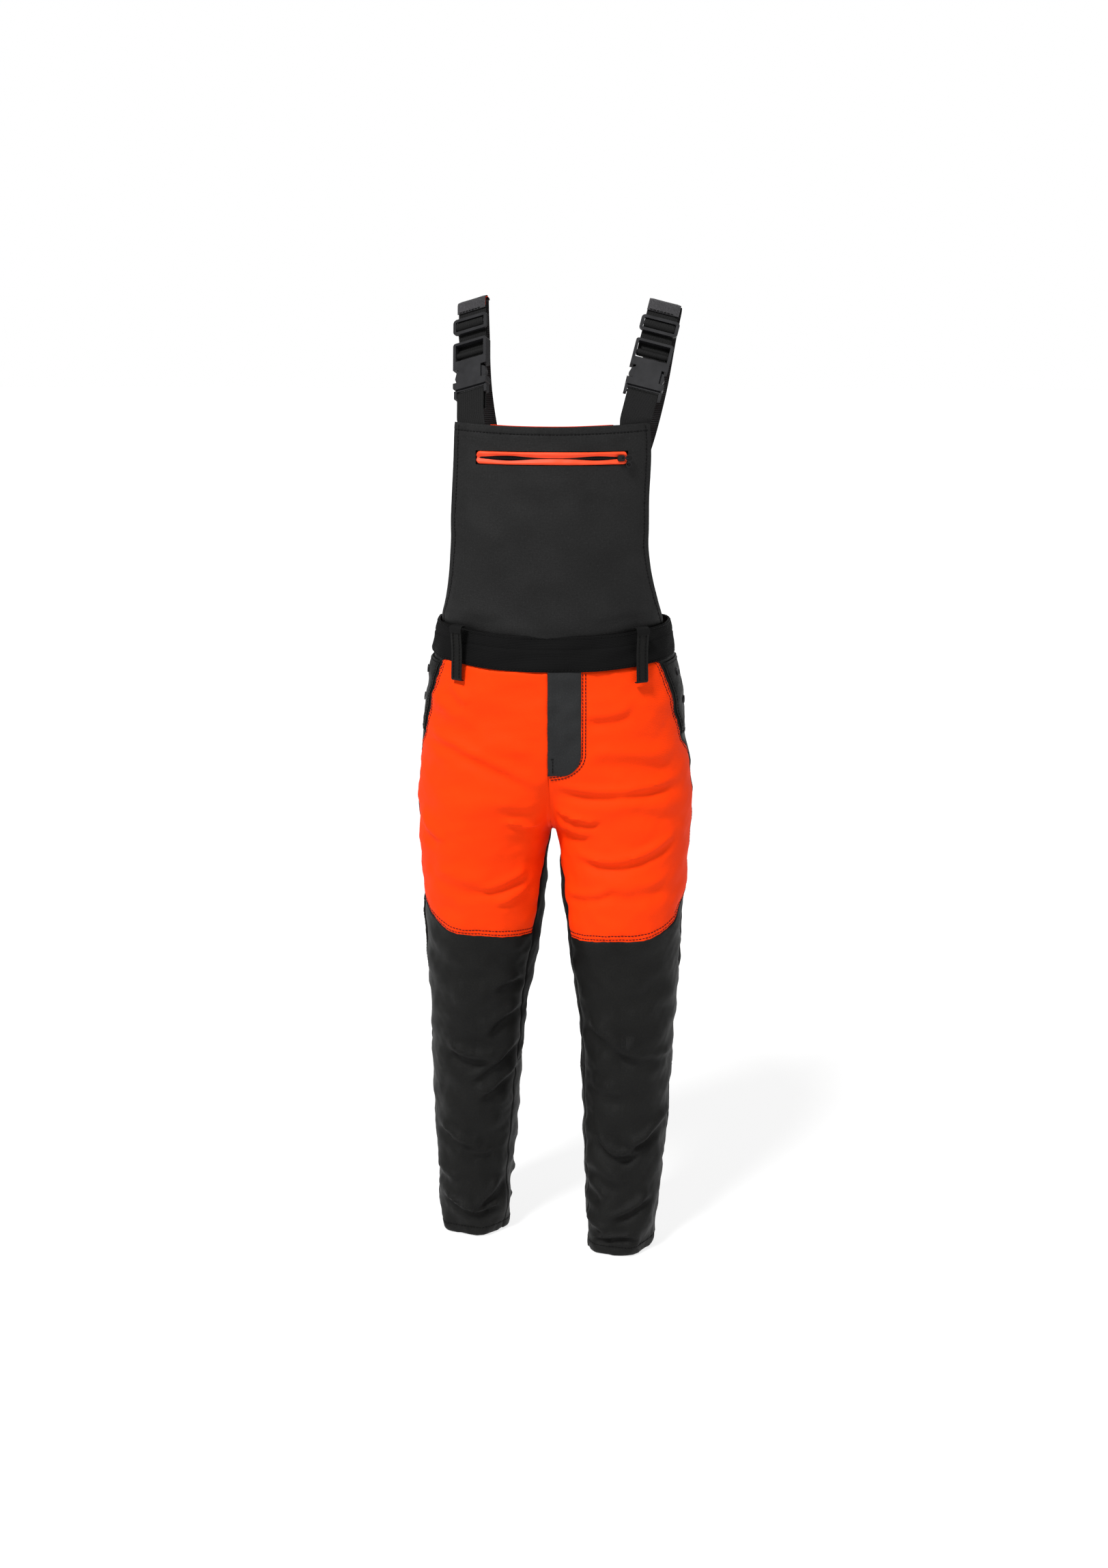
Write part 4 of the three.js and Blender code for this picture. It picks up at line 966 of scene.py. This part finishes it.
def make_bib():
    """The bib's front; its grid follows the edges and has lines on the zip's opening."""
    middle = np.linspace(-118, 128, 54)
    slot_x = np.array([ZIP_LEFT, ZIP_RIGHT])
    slot_z = np.array([ZIP_Z - ZIP_HALF, ZIP_Z + ZIP_HALF])
    middle = middle[np.min(np.abs(middle[:, None] - slot_x), axis=1) > 1.2]
    inset = np.array(EDGE_LINES)
    columns = merged(middle, slot_x)
    rows = np.linspace(BIB_GRID_Z, BIB_TOP_Z - 14, 66)
    rows = rows[np.min(np.abs(rows[:, None] - slot_z), axis=1) > 1.2]
    rows = merged(rows, slot_z, BIB_TOP_Z - inset)
    half = np.maximum(along(BIB_EDGE, 1, rows), 1)[:, None]
    centre = bib_centre(rows)[:, None]
    left = centre - half + inset
    right = centre + half - inset[::-1]
    x = np.concatenate([left, np.repeat(columns[None], len(rows), 0), right], axis=1)
    z = np.repeat(rows[:, None], x.shape[1], 1)
    dip = 5 * (1 - np.minimum(1, np.abs(x - centre) / half) ** 2)
    z = z - dip * smooth(z, 1286, BIB_TOP_Z)
    z = risen(x, z)
    panel = Panel(bib_surface(x, z), FRONT)
    panel.sew(0.9, [(LEFT_EDGE, 8.0), (RIGHT_EDGE, 8.0), (TOP, 11.0)], seed=21, pucker=0.35)
    mid_x = (x[:-1, :-1] + x[:-1, 1:]) / 2
    mid_z = np.repeat(rows[:-1, None] + rows[1:, None], x.shape[1] - 1, 1) / 2
    hole = (mid_x > ZIP_LEFT) & (mid_x < ZIP_RIGHT) & (np.abs(mid_z - ZIP_Z) < ZIP_HALF)
    piece = panel.build("bib_cloth", "bib", 1.5, holes=hole)
    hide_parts("bib_panel")
    declare_sheet(panel)
    topstitch(panel, [(LEFT_EDGE, 8.0), (RIGHT_EDGE, 8.0)], 0.01, 0.965)
    topstitch(panel, [(TOP, 11.0)], 0.0, 1.0)


def make_bib_lining():
    """Orange lining, just proud of the bib's top edge between the straps, and the chest pocket's bag."""
    u, v = grid(spaced(300, 6), spaced(312, 6))
    z = lerp(1014, BIB_TOP_Z, v) - 5 * (1 - (2 * u - 1) ** 2) * smooth(v, 0.88, 1)
    x = bib_centre(z) + (2 * u - 1) * (along(BIB_EDGE, 1, z) - 1.2)
    feet = [BRACES[name]["foot"][0] for name in ("right", "left")]
    between = smooth(x, feet[0] + 20, feet[0] + 30) * (1 - smooth(x, feet[1] - 30, feet[1] - 20))
    z = z + (-3.0 + 3.7 * between) * smooth(v, 0.97, 1)
    z = risen(x, z)
    at_straps = np.maximum(*(1 - smooth(np.abs(x - foot), 24, 32) for foot in feet))
    below_top = 1 - smooth(z, 1286, 1306)
    back = -2.6 - 5.2 * np.maximum(at_straps, below_top) * smooth(z, 1014, 1040)
    lining = Panel(bib_surface(x, z, back), FRONT)
    make_sheet(lining, "bib_lining_cloth", "orange", 1.1, "bib_lining")
    u, v = grid(spaced(236, 7), spaced(173, 7))
    x, z = lerp(ZIP_LEFT - 8, ZIP_RIGHT + 8, u), lerp(*CHEST_POCKET_Z, v)
    bag = Panel(bib_surface(x, z, -4.2), FRONT)
    make_sheet(bag, "chest_pocket_cloth", "lining", 1.2, "chest_pocket_bag")


def back_y(x, z):
    waist = BAND_TOP_HALF[1] * np.sqrt(1 - np.minimum(1, np.abs(x) / 176) ** 2) - 1
    return lerp(waist, 118 - (x * x) / 520, smooth(z, 1011.4, BACK_TOP_Z))


def make_back_panel():
    u, v = grid(spaced(240, 5), spaced(180, 5))
    z = lerp(1007, BACK_TOP_Z, v)
    x = (2 * u - 1) * along(BACK_EDGE, 1, z)
    z = z + band_rise(x) * (1 - v) ** 2
    y = back_y(x, z) - 2.0 * (1 - smooth(z - band_rise(x), 1010, 1024)) + 1.2 * ripple(x, z, BIB_WAVES)
    panel = Panel(np.stack([x, y, z], -1), BACK)
    rows = [(LEFT_EDGE, 7.0), (RIGHT_EDGE, 7.0), (TOP, 10.0)]
    panel.sew(1.1, rows, seed=23)
    make_sheet(panel, "back_cloth", "charcoal", 1.5, "back_panel")
    topstitch(panel, rows, 0.02, 0.97)


# ------------------------------------------------------------------ chest zip
def zip_point(x, z, out):
    turn = np.arcsin(np.clip(x / BIB_RADIUS, -1, 1))
    r = BIB_RADIUS + out
    return np.stack([r * np.sin(turn), BIB_AXIS_Y - r * np.cos(turn), ZIP_Z + z], -1)


def zip_gap(x):
    return 0.5 + 3.1 * np.exp(-(((x + 58) / 34) ** 2)) + 2.6 * np.exp(-(((x - 72) / 30) ** 2))


# Faces of a tooth, a box with its corners numbered by x, height and depth.
TOOTH_FACES = ((0, 2, 6, 4), (1, 5, 7, 3), (0, 4, 5, 1), (2, 3, 7, 6), (0, 1, 3, 2), (4, 6, 7, 5))


def make_chest_zip():
    for name, sign in (("upper", 1), ("lower", -1)):
        u, v = grid(spaced(ZIP_RIGHT - ZIP_LEFT, 2.6), np.linspace(0, 1, 15))
        start, end = ZIP_LEFT + LIP_INSET, ZIP_RIGHT - LIP_INSET
        x = lerp(start, end, u)
        from_end = np.minimum(x - start, end - x)
        inward = np.maximum(0, LIP_CORNER - from_end)
        corner = LIP_CORNER - np.sqrt(np.maximum(LIP_CORNER**2 - inward**2, 0))
        shut = smooth(from_end, 1.5, 6.0)
        height = lerp(zip_gap(x) * shut, LIP_HEIGHT - corner + 0.12 * np.sin(x / 17 + sign), v)
        crown = 3.3 * np.sin(math.pi * np.clip(0.94 * v**1.7 + 0.03, 0, 1)) ** 0.7 - 1.3
        sway = 0.2 * ripple(x, height * 3, waves(51 + sign, 7, 18, 60))
        panel = Panel(zip_point(x, sign * height, crown + sway), FRONT)
        node = f"chest_zip_{name}_lip"
        # The lips' lighter orange is a painted highlight on the shell cloth.
        make_sheet(panel, f"{node}_cloth", "lip", 1.0, node)
    # Zip coil: a row of small interlocking teeth.
    points, faces, uv = [], [], []
    for k, x in enumerate(np.arange(ZIP_LEFT + 4, ZIP_RIGHT - 12, 1.25)):
        z = 0.9 * (1 if k % 2 else -1)
        corners = [(a, b, c) for a in (-0.45, 0.45) for b in (-1.7, 1.7) for c in (-3.3, -1.4)]
        base = len(points)
        points += [zip_point(np.float64(x + a), z + b * (1 - 0.35 * (c > -2)), c) for a, b, c in corners]
        uv += [(x + a, z + b) for a, b, c in corners]
        faces += [tuple(base + q for q in quad) for quad in TOOTH_FACES]
    u, v = grid(np.linspace(0, 1, 60), np.linspace(0, 1, 4))
    tape = Panel(zip_point(lerp(ZIP_LEFT - 3, ZIP_RIGHT + 3, u), lerp(-12.5, 12.5, v), -3.6), FRONT)
    make_sheet(tape, "chest_zip_tape", "stretch", 0.7, None)
    piece = make_piece("chest_zip_coil", np.array(points), faces, "zip", "garment", uv, sharp=30)
    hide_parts("chest_zip_chain")


# ------------------------------------------------------------------ straps
def brace_frame(name):
    """Origin and axes (across, back, up) of a brace."""
    foot, top = (np.array(BRACES[name][k], float) for k in ("foot", "top"))
    up = unit(top - foot)
    level = np.array([1.0, 0, 0])
    level = unit(level - (level @ up) * up)
    turn = math.radians(BRACES[name]["yaw"])
    across = level * math.cos(turn) + np.cross(up, level) * math.sin(turn)
    return foot, across, np.cross(up, across), up


def in_brace(name, points):
    """Brace coordinates (y, z) as points in space."""
    foot, _, back, up = brace_frame(name)
    return np.array([foot + back * y + up * z for y, z in points])


def even(points, widths, step):
    """A line resampled smoothly at even steps."""
    points, widths = np.asarray(points, float), np.asarray(widths, float)
    n = len(points)
    t = np.arange(n)
    fine = np.linspace(0, n - 1, n * 24)
    i = np.clip(fine.astype(int), 0, n - 2)
    s = (fine - i)[:, None]
    p0, p1 = points[np.maximum(i - 1, 0)], points[i]
    p2, p3 = points[i + 1], points[np.minimum(i + 2, n - 1)]
    m1, m2 = (p2 - p0) / 2, (p3 - p1) / 2
    line = p1 * (1 + 2 * s) * (1 - s) ** 2 + m1 * s * (1 - s) ** 2
    line = line + p2 * s * s * (3 - 2 * s) + m2 * s * s * (s - 1)
    wide = np.stack([np.interp(fine, t, widths[:, k]) for k in range(3)], -1)
    walked = np.concatenate([[0], np.cumsum(np.linalg.norm(np.diff(line, axis=0), axis=1))])
    places = np.linspace(0, walked[-1], max(3, int(walked[-1] / step)))
    line = np.stack([np.interp(places, walked, line[:, k]) for k in range(3)], -1)
    wide = np.stack([np.interp(places, walked, wide[:, k]) for k in range(3)], -1)
    return line, unit(wide), places


def strap(
    name, points, widths, width, thick, material,
    node=None, body="garment", step=2.0, rib=0.0, cup=0.0,
):
    """A flat strap with rounded edges along a line.

    widths is its crosswise direction, one for all points or one for each. Its uv lays the strap flat at its
    own width and the length of its line, and it may stand for a CAD node."""
    line, wide, walked = even(points, np.broadcast_to(widths, (len(points), 3)), step)
    tangent = unit(np.gradient(line, axis=0))
    normal = unit(np.cross(tangent, wide))
    columns = 10
    across = np.linspace(-0.5, 0.5, columns + 1)
    ring = [(a * width, 0.5 * (1 if abs(a) < 0.49 else 0.35)) for a in across]
    ring += [(a * width, -0.5 * (1 if abs(a) < 0.49 else 0.35)) for a in across[::-1]]
    swell = 1 + rib * np.sin(2 * math.pi * walked / 3.2)
    ring_points = []
    for a, h in ring:
        bow = cup * (1 - (2 * a / width) ** 2)
        ring_points.append(line + wide * a + normal * (h * thick * swell + bow)[:, None])
    mesh_points = np.stack(ring_points, 1)
    rows, count = mesh_points.shape[:2]
    faces = [
        (j * count + i, j * count + (i + 1) % count, (j + 1) * count + (i + 1) % count, (j + 1) * count + i)
        for j in range(rows - 1)
        for i in range(count)
    ]
    for row, order in ((0, -1), (rows - 1, 1)):
        for i in range(columns):
            quad = (i, i + 1, count - 2 - i, count - 1 - i)
            faces.append(tuple(row * count + q for q in quad[::order]))
    girth = np.array([a for a, _ in ring])
    uv = np.stack([np.repeat(girth[None], rows, 0), np.repeat(walked[:, None], count, 1)], -1).reshape(-1, 2)
    flat = mesh_points.reshape(-1, 3)
    first = np.array(faces[0])
    outward = np.cross(flat[first[1]] - flat[first[0]], flat[first[3]] - flat[first[0]]) @ normal[0] > 0
    if not outward:
        faces = [tuple(reversed(f)) for f in faces]
    piece = make_piece(name, flat, faces, material, body, uv, sharp=60)
    if node:
        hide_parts(node)
    return line, wide, normal, thick, width


def strap_stitch(surface, offset, side, start, end):
    """A stitch line along a strap, at a distance from its middle."""
    line, wide, normal, thick, _ = surface
    part = slice(int(start * (len(line) - 1)), int(end * (len(line) - 1)) + 1)
    up = normal[part] * side
    stitch((line[part] + wide[part] * offset + up * thick / 2, up))


def cross_stitch(surface, place, side, inset=3.0):
    """A stitch line across a strap at a share of its length."""
    line, wide, normal, thick, width = surface
    k = int(place * (len(line) - 1))
    across = np.linspace(-width / 2 + inset, width / 2 - inset, 30)[:, None]
    up = np.repeat((normal[k] * side)[None], 30, 0)
    stitch((line[k] + wide[k] * across + up * thick / 2, up))


def turn(z, radius, start, end, steps):
    """Brace coordinates of an arc in front of a bar at height z, from one angle to another."""
    return [
        (-radius * math.cos(a), z + radius * math.sin(a))
        for a in np.radians(np.linspace(start, end, steps + 1))
    ]


def make_brace(name, side):
    foot, across, back, up = brace_frame(name)
    x = foot[0]
    edge = unit(np.array([math.sqrt(BIB_RADIUS**2 - x * x), x, 0.0]))
    around = WEBBING_THICK / 2 + 2.6

    # Webbing sewn in behind the bib, up round the clip's bar and back down.
    sewn = [np.array([x, float(bib_y(x, z)) + 5.0, z]) for z in (1303, 1313, 1320)]
    loop = in_brace(
        name,
        [(-3.4, z) for z in (14, 28, 42)]
        + turn(BRACE["clip_bar"], around, 0, 180, 8)
        + [(3.4, 38), (3.6, 22)],
    )
    widths = [edge] * len(sewn) + [across] * len(loop)
    strap(
        f"{name}_bib_webbing", [*sewn, *loop], widths, WEBBING, WEBBING_THICK, "webbing",
        node=f"{name}_bib_strap", cup=0.4,
    )

    # Main webbing: from the shoulder behind the buckle's top bar, round its middle bar and back up.
    bar, top = BRACE["bar"], BRACE["housing_top"]
    route = [
        (1.6, BRACE["top"] - 2),
        (1.6, BRACE["glide"] + 14),
        (1.9, BRACE["glide"]),
        (1.7, top + 14),
        (3.6, top + 3),
        (3.6, top - 6),
        *turn(bar, around + 1.2, 135, -135, 10),
        (6.3, bar + 5),
        (6.3, top + 3),
        (4.7, top + 16),
        (4.6, top + 46),
    ]
    strap(
        f"{name}_main_webbing", in_brace(name, route), across, WEBBING + 1.4, WEBBING_THICK, "webbing",
        node=f"{name}_webbing", step=1.6,
    )

    # The webbing over the strap slider's middle bar goes with the slider.
    glide = BRACE["glide"]
    hump = [(-0.3, 13), (-0.35, 9.6), (-2.0, 7.0), (-5.4, 4.6), (-6.8, 2.2), (-7.1, 0)]
    hump += [(y, -z) for y, z in hump[-2::-1]]
    points = in_brace(name, [(y, glide + z) for y, z in hump])
    slider = f"{name}_strap_slider"
    strap(
        f"{name}_slider_webbing", points, across, WEBBING, 1.3, "webbing",
        body=slider, step=0.9,
    )

    # Shoulder patch with its lining, then the elastic down the back.
    turn_radius, patch_y = 8.0, -1.2
    over = [
        (patch_y + turn_radius * (1 - math.cos(a)), BRACE["top"] + turn_radius * math.sin(a))
        for a in np.radians([28, 56, 84, 112, 140])
    ]
    front = [(patch_y, z) for z in (BRACE["patch"], BRACE["patch"] + 5, BRACE["top"] - 4, BRACE["top"])]
    surface = strap(
        f"{name}_shoulder_patch", in_brace(name, front + over[:3]), across, WEBBING + 2.5, 2.0, "patch",
        node=f"{name}_back_strap", step=1.2, cup=0.5,
    )
    facing = 1.0 if surface[2][0] @ back < 0 else -1.0
    cross_stitch(surface, 0.09, facing)
    under = [(y + 1.9, z - 0.4) for y, z in front[1:] + over[:3]]
    strap(
        f"{name}_shoulder_lining", in_brace(name, under), across, WEBBING + 1.0, 0.9, "orange",
        step=1.5,
    )

    start = in_brace(name, over[1:])
    down = [np.array(p, float) for p in BRACES[name]["back"]]
    down.append(down[-1] + np.array([-2.0 * side, 2.5, -14]))
    level = np.array([1.0, 0, 0])
    points = [*start, *down]
    share = smooth(np.arange(len(points)), len(start) - 2, len(points) - 2)
    widths = [unit(lerp(across, level, s)) for s in share]
    strap(
        f"{name}_back_elastic", points, widths, WEBBING, 2.0, "elastic",
        step=0.8, rib=0.16, cup=0.3,
    )


# ------------------------------------------------------------------ fly, plackets, loops and pockets
def centre_surface(x, z, out):
    """Points on the worn front near the centre line, by x."""
    side = np.where(x < 0, -1, 1)
    reach = (np.maximum(np.abs(x), 0.3) - along(LEG, 1, z)) / along(LEG, 2, z)
    angle = np.degrees(np.arccos(np.clip(np.sign(reach) * np.abs(reach) ** (SQUARENESS / 2), -1, 1)))
    left, right = worn(1, angle, z, out), worn(-1, angle, z, out)
    return np.where((side > 0)[..., None], left, right)


def make_fly():
    """The fly's flap, two rows of stitches round it and its bar tacks."""
    bottom, width, corner = FLY_BOTTOM_Z, FLY_WIDTH, FLY_CORNER

    def edge_x(z):
        drop = np.maximum(0, corner - (z - bottom))
        return width - 0.9 * (corner - np.sqrt(np.maximum(corner**2 - drop**2, 0)))

    u, v = grid(spaced(48, 3.2, FEW_EDGE_LINES), spaced(160, 3.4))
    z = lerp(bottom, TROUSER_TOP_Z + 0.5, v)
    x = 0.6 + u * (edge_x(z) - 0.6)
    panel = Panel(centre_surface(x, z, 2.1 + 0.6 * ripple(x, z, waves(61, 8, 22, 60))), FRONT)
    panel.sew(0.9, [(LEFT_EDGE, 3.0)], seed=27, pucker=0.2)
    make_sheet(panel, "fly_cloth", "fly", 1.2, "fly_flap")
    # Two rows of stitches on the orange cloth follow the fly's curve.
    curve_top = bottom + corner
    for off in (2.4, 6.8):
        z = np.concatenate([np.linspace(957, curve_top, 60), np.linspace(curve_top, bottom - off, 40)])
        t = np.clip((curve_top - z) / (corner + off), 0, 1)
        x = np.where(z > curve_top, width + off, (width + off) * np.sqrt(np.maximum(1 - t**2, 0)))
        normals = np.repeat(np.array([[0.0, -1.0, 0.05]]), len(z), 0)
        stitch((centre_surface(np.maximum(x, 1.0), z, 0.3), unit(normals)), "navy_thread")
    # Bar tacks at the foot of the flap, one across and one down.
    for x, z, out, look in (
        (np.linspace(4, 10, 8), np.full(8, 828.0), 2.4, {"gap": 0.1, "width": 1.6}),
        (np.full(20, 7.0), np.linspace(826, 803, 20), 2.3, {}),
    ):
        stitch((centre_surface(x, z, out), np.repeat(np.array([FRONT], float), len(z), 0)), **look)


def make_snap(name, side, angle, z, body, replaced):
    """A round press-stud cap with a rim and a dished middle."""
    centre = worn(side, angle, z, 2.9)
    ahead = worn(side, angle + 1, z, 2.9) - worn(side, angle - 1, z, 2.9)
    rise = worn(side, angle, z + 4, 2.9) - worn(side, angle, z - 4, 2.9)
    normal = unit(np.cross(ahead, rise)) * -side
    right = unit(ahead)
    up = np.cross(normal, right)
    profile = [(6.2, -0.4), (6.4, 0.5), (6.0, 1.2), (5.2, 1.5), (4.3, 1.3), (3.6, 0.8), (2.6, 0.65)]
    profile.append((1.2, 0.75))
    points, faces, uv = [], [], []
    count = 32
    for r, h in profile:
        for k in range(count):
            a = 2 * math.pi * k / count
            points.append(centre + right * r * math.cos(a) + up * r * math.sin(a) + normal * h)
            uv.append((r * math.cos(a), r * math.sin(a)))
    for j in range(len(profile) - 1):
        for k in range(count):
            m = (k + 1) % count
            faces.append((j * count + k, j * count + m, (j + 1) * count + m, (j + 1) * count + k))
    faces.append(tuple((len(profile) - 1) * count + k for k in range(count)))
    faces.append(tuple(reversed(range(count))))
    first = [points[i] for i in faces[-2][:3]]
    if np.cross(first[1] - first[0], first[2] - first[0]) @ normal < 0:
        faces = [tuple(reversed(f)) for f in faces]
    piece = make_piece(name, np.array(points), faces, "snap", body, uv)
    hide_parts(replaced)


# The press studs of a placket: label, angle round the body and height.
SNAPS = (("upper", 10, 934), ("lower", 5, 892))


def make_placket(name, side):
    """The side opening's flap, sewn to the trousers."""
    u, v = grid(spaced(80, 4, FEW_EDGE_LINES), spaced(108, 4, FEW_EDGE_LINES))
    z = lerp(*PLACKET_Z, v)
    angle = lerp(outer_angle(z) - 2.0, -8, u)
    out = 1.6 + 0.7 * smooth(u, 0, 0.2) - 1.4 * smooth(u, 0.8, 1.0)
    panel = Panel(worn(side, angle, z, out), (side, 0, 0))
    panel.sew(0.7, [(LEFT_EDGE, 5.0), (BOTTOM, 5.0)], seed=33)
    piece = panel.build(f"{name}_placket_cloth", "charcoal", 1.4, blended=True)
    for edge, end in ((LEFT_EDGE, 0.96), (BOTTOM, 0.8), (TOP, 0.8)):
        topstitch(panel, [(edge, 4.5)], 0.04, end, body=f"{name}_placket")
    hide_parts(f"{name}_placket")
    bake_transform(piece)
    declare_sheet(panel)
    for label, at, height in SNAPS:
        make_snap(f"{name}_cap_{label}", side, at, height, f"{name}_placket", f"{name}_snap_cap_{label}")


# The belt loops: name, angle round the band and distance off it.
LOOPS = (
    ("front_left_belt_loop", 46, 2.4),
    ("front_right_belt_loop", 134, 2.4),
    ("back_right_belt_loop", 228, 3.8),
    ("back_left_belt_loop", 312, 3.8),
)


def make_belt_loop(name, angle, off):
    """A belt loop over the band, as a strip of cloth in a narrow ring, and its tab."""
    half_way, half = (LOOP_TOP_Z + LOOP_BOTTOM_Z) / 2, (LOOP_TOP_Z - LOOP_BOTTOM_Z) / 2
    before, at, after = (band_point(np.float64(angle + step), half_way, 1.6) for step in (-1, 0, 1))
    across = unit((after - before) * (1, 1, 0))
    outward = np.array([across[1], -across[0], 0])
    if outward @ (at * (1, 1, 0)) < 0:
        outward = -outward
    base = at + outward * off

    def ring(route):
        return [base + outward * a + np.array([0, 0, 1.0]) * b for a, b in route]

    route = [(-2.4, half + 1.9), (3.0, half + 2.4), (7.0, half + 1.6), (9.0, half - 1.5), (8.6, half - 14)]
    route += [(7.6, 12), (7.4, 0), (7.9, -14), (8.8, -half + 6), (8.6, -half - 0.6), (6.6, -half - 1.9)]
    route.append((3.0, -half - 2.0))
    surface = strap(
        f"{name}_cloth", ring(route), across, 20.0, 1.9, "charcoal",
        node=name, step=1.5, cup=0.3,
    )
    facing = 1.0 if surface[2][len(surface[2]) // 2] @ outward > 0 else -1.0
    for offset in (-5.4, 5.4):
        strap_stitch(surface, offset, facing, 0.06, 0.95)
    # A short folded tab covers the loop's top end.
    tab = [(-1.8, half + 4.1), (3.4, half + 4.6), (8.4, half + 3.6), (10.9, half - 0.8), (10.8, half - 5.5)]
    strap(f"{name}_tab", ring(tab), across, 22.0, 1.2, "stretch", step=1.2)


def make_rule_pocket():
    """The patch pocket for a rule on the outside of the right thigh."""
    u, v = grid(spaced(110, 5), spaced(128, 5))
    z = lerp(*RULE_POCKET_Z, v)
    angle = lerp(6, -58, u)
    crown = 3.0 + 0.9 * np.sin(math.pi * u) * np.sin(math.pi * v)
    panel = Panel(worn(-1, angle, z, crown), (-1, 0, 0))
    rows = [(LEFT_EDGE, 4.0), (RIGHT_EDGE, 4.0), (BOTTOM, 4.0), (TOP, 12.0)]
    panel.sew(1.4, rows, seed=37)
    make_sheet(panel, "rule_pocket_cloth", "charcoal", 1.6, "rule_pocket")
    topstitch(panel, rows)


# ------------------------------------------------------------------ put it together
make_waistband()
make_bib()
make_bib_lining()
make_back_panel()
make_chest_zip()
for side_name, side_sign in SIDES:
    make_leg(side_name, side_sign)
    make_brace(side_name, side_sign)
    make_placket(side_name, side_sign)
make_fly()
for loop in LOOPS:
    make_belt_loop(*loop)
make_rule_pocket()
make_threads()

# Carried-over CAD pieces: softened edges and moulded plastic.
for node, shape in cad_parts.items():
    if shape.hide_render:
        continue
    kind = "zip" if "zip" in node else "snap" if "snap" in node else "plastic"
    shape.data.materials.clear()
    shape.data.materials.append(MATERIALS[kind])
    bevel = shape.modifiers.new("bevel", "BEVEL")
    bevel.width = 0.0009 if kind == "plastic" else 0.0003
    bevel.segments = 3
    bevel.limit_method = "ANGLE"
    bevel.angle_limit = math.radians(35)

# ------------------------------------------------------------------ floor, light and camera
FLOOR_HALF, FLOOR_Z = 30, -0.002
floor_material = Nodes("pale_floor")
floor_material.bsdf.inputs["Base Color"].default_value = (0.22, 0.22, 0.22, 1)
floor_material.bsdf.inputs["Emission Color"].default_value = (1, 1, 1, 1)
floor_material.bsdf.inputs["Emission Strength"].default_value = 0.8
floor_material.bsdf.inputs["Roughness"].default_value = 1.0
floor_material.bsdf.inputs["Specular IOR Level"].default_value = 0.0
floor_mesh = bpy.data.meshes.new("floor")
floor_corners = [(x * FLOOR_HALF, y * FLOOR_HALF, FLOOR_Z) for x, y in ((-1, -1), (1, -1), (1, 1), (-1, 1))]
floor_mesh.from_pydata(floor_corners, [], [(0, 1, 2, 3)])
floor_mesh.materials.append(floor_material.material)
floor = bpy.data.objects.new("floor", floor_mesh)
bpy.context.scene.collection.objects.link(floor)

# The camera sees a white backdrop; the object is lit by a weaker one.
world = bpy.data.worlds.new("studio")
world.use_nodes = True
nodes, links = world.node_tree.nodes, world.node_tree.links
backdrop, ambient = nodes["Background"], nodes.new("ShaderNodeBackground")
backdrop.inputs["Color"].default_value = ambient.inputs["Color"].default_value = (1, 1, 1, 1)
backdrop.inputs["Strength"].default_value = 1.0
ambient.inputs["Strength"].default_value = 0.26
ray, chosen = nodes.new("ShaderNodeLightPath"), nodes.new("ShaderNodeMixShader")
links.new(ray.outputs["Is Camera Ray"], chosen.inputs[0])
links.new(ambient.outputs[0], chosen.inputs[1])
links.new(backdrop.outputs[0], chosen.inputs[2])
links.new(chosen.outputs[0], nodes["World Output"].inputs["Surface"])
bpy.context.scene.world = world


def soft_sun(name, azimuth, elevation, softness, strength):
    """A distant soft light; azimuth 0 is in front of the wearer and grows towards their left."""
    data = bpy.data.lights.new(name, "SUN")
    data.angle = math.radians(softness)
    data.energy = strength
    lamp = bpy.data.objects.new(name, data)
    bpy.context.scene.collection.objects.link(lamp)
    a, e = math.radians(azimuth), math.radians(elevation)
    toward = Vector((math.sin(a) * math.cos(e), -math.cos(a) * math.cos(e), math.sin(e)))
    lamp.rotation_euler = toward.to_track_quat("Z", "Y").to_euler()


soft_sun("key", -30, 53, 12, 4.0)
soft_sun("fill", 48, 18, 50, 0.3)
soft_sun("back", 170, 42, 40, 1.3)

CAMERA_DISTANCE, CAMERA_HEIGHT, CAMERA_TURN, CAMERA_PITCH = 3.0, 1.5, 4.0, 13.87
LENS, SENSOR_WIDTH = 45.49, 36.0
camera_data = bpy.data.cameras.new("camera")
camera_data.lens = LENS
camera_data.sensor_width = SENSOR_WIDTH
camera = bpy.data.objects.new("camera", camera_data)
bpy.context.scene.collection.objects.link(camera)
swing, pitch = math.radians(CAMERA_TURN), math.radians(CAMERA_PITCH)
camera.location = (CAMERA_DISTANCE * math.sin(swing), -CAMERA_DISTANCE * math.cos(swing), CAMERA_HEIGHT)
aim = Vector((-math.sin(swing) * math.cos(pitch), math.cos(swing) * math.cos(pitch), -math.sin(pitch)))
camera.rotation_euler = aim.to_track_quat("-Z", "Y").to_euler()
bpy.context.scene.camera = camera
bpy.context.scene.view_settings.view_transform = "Standard"
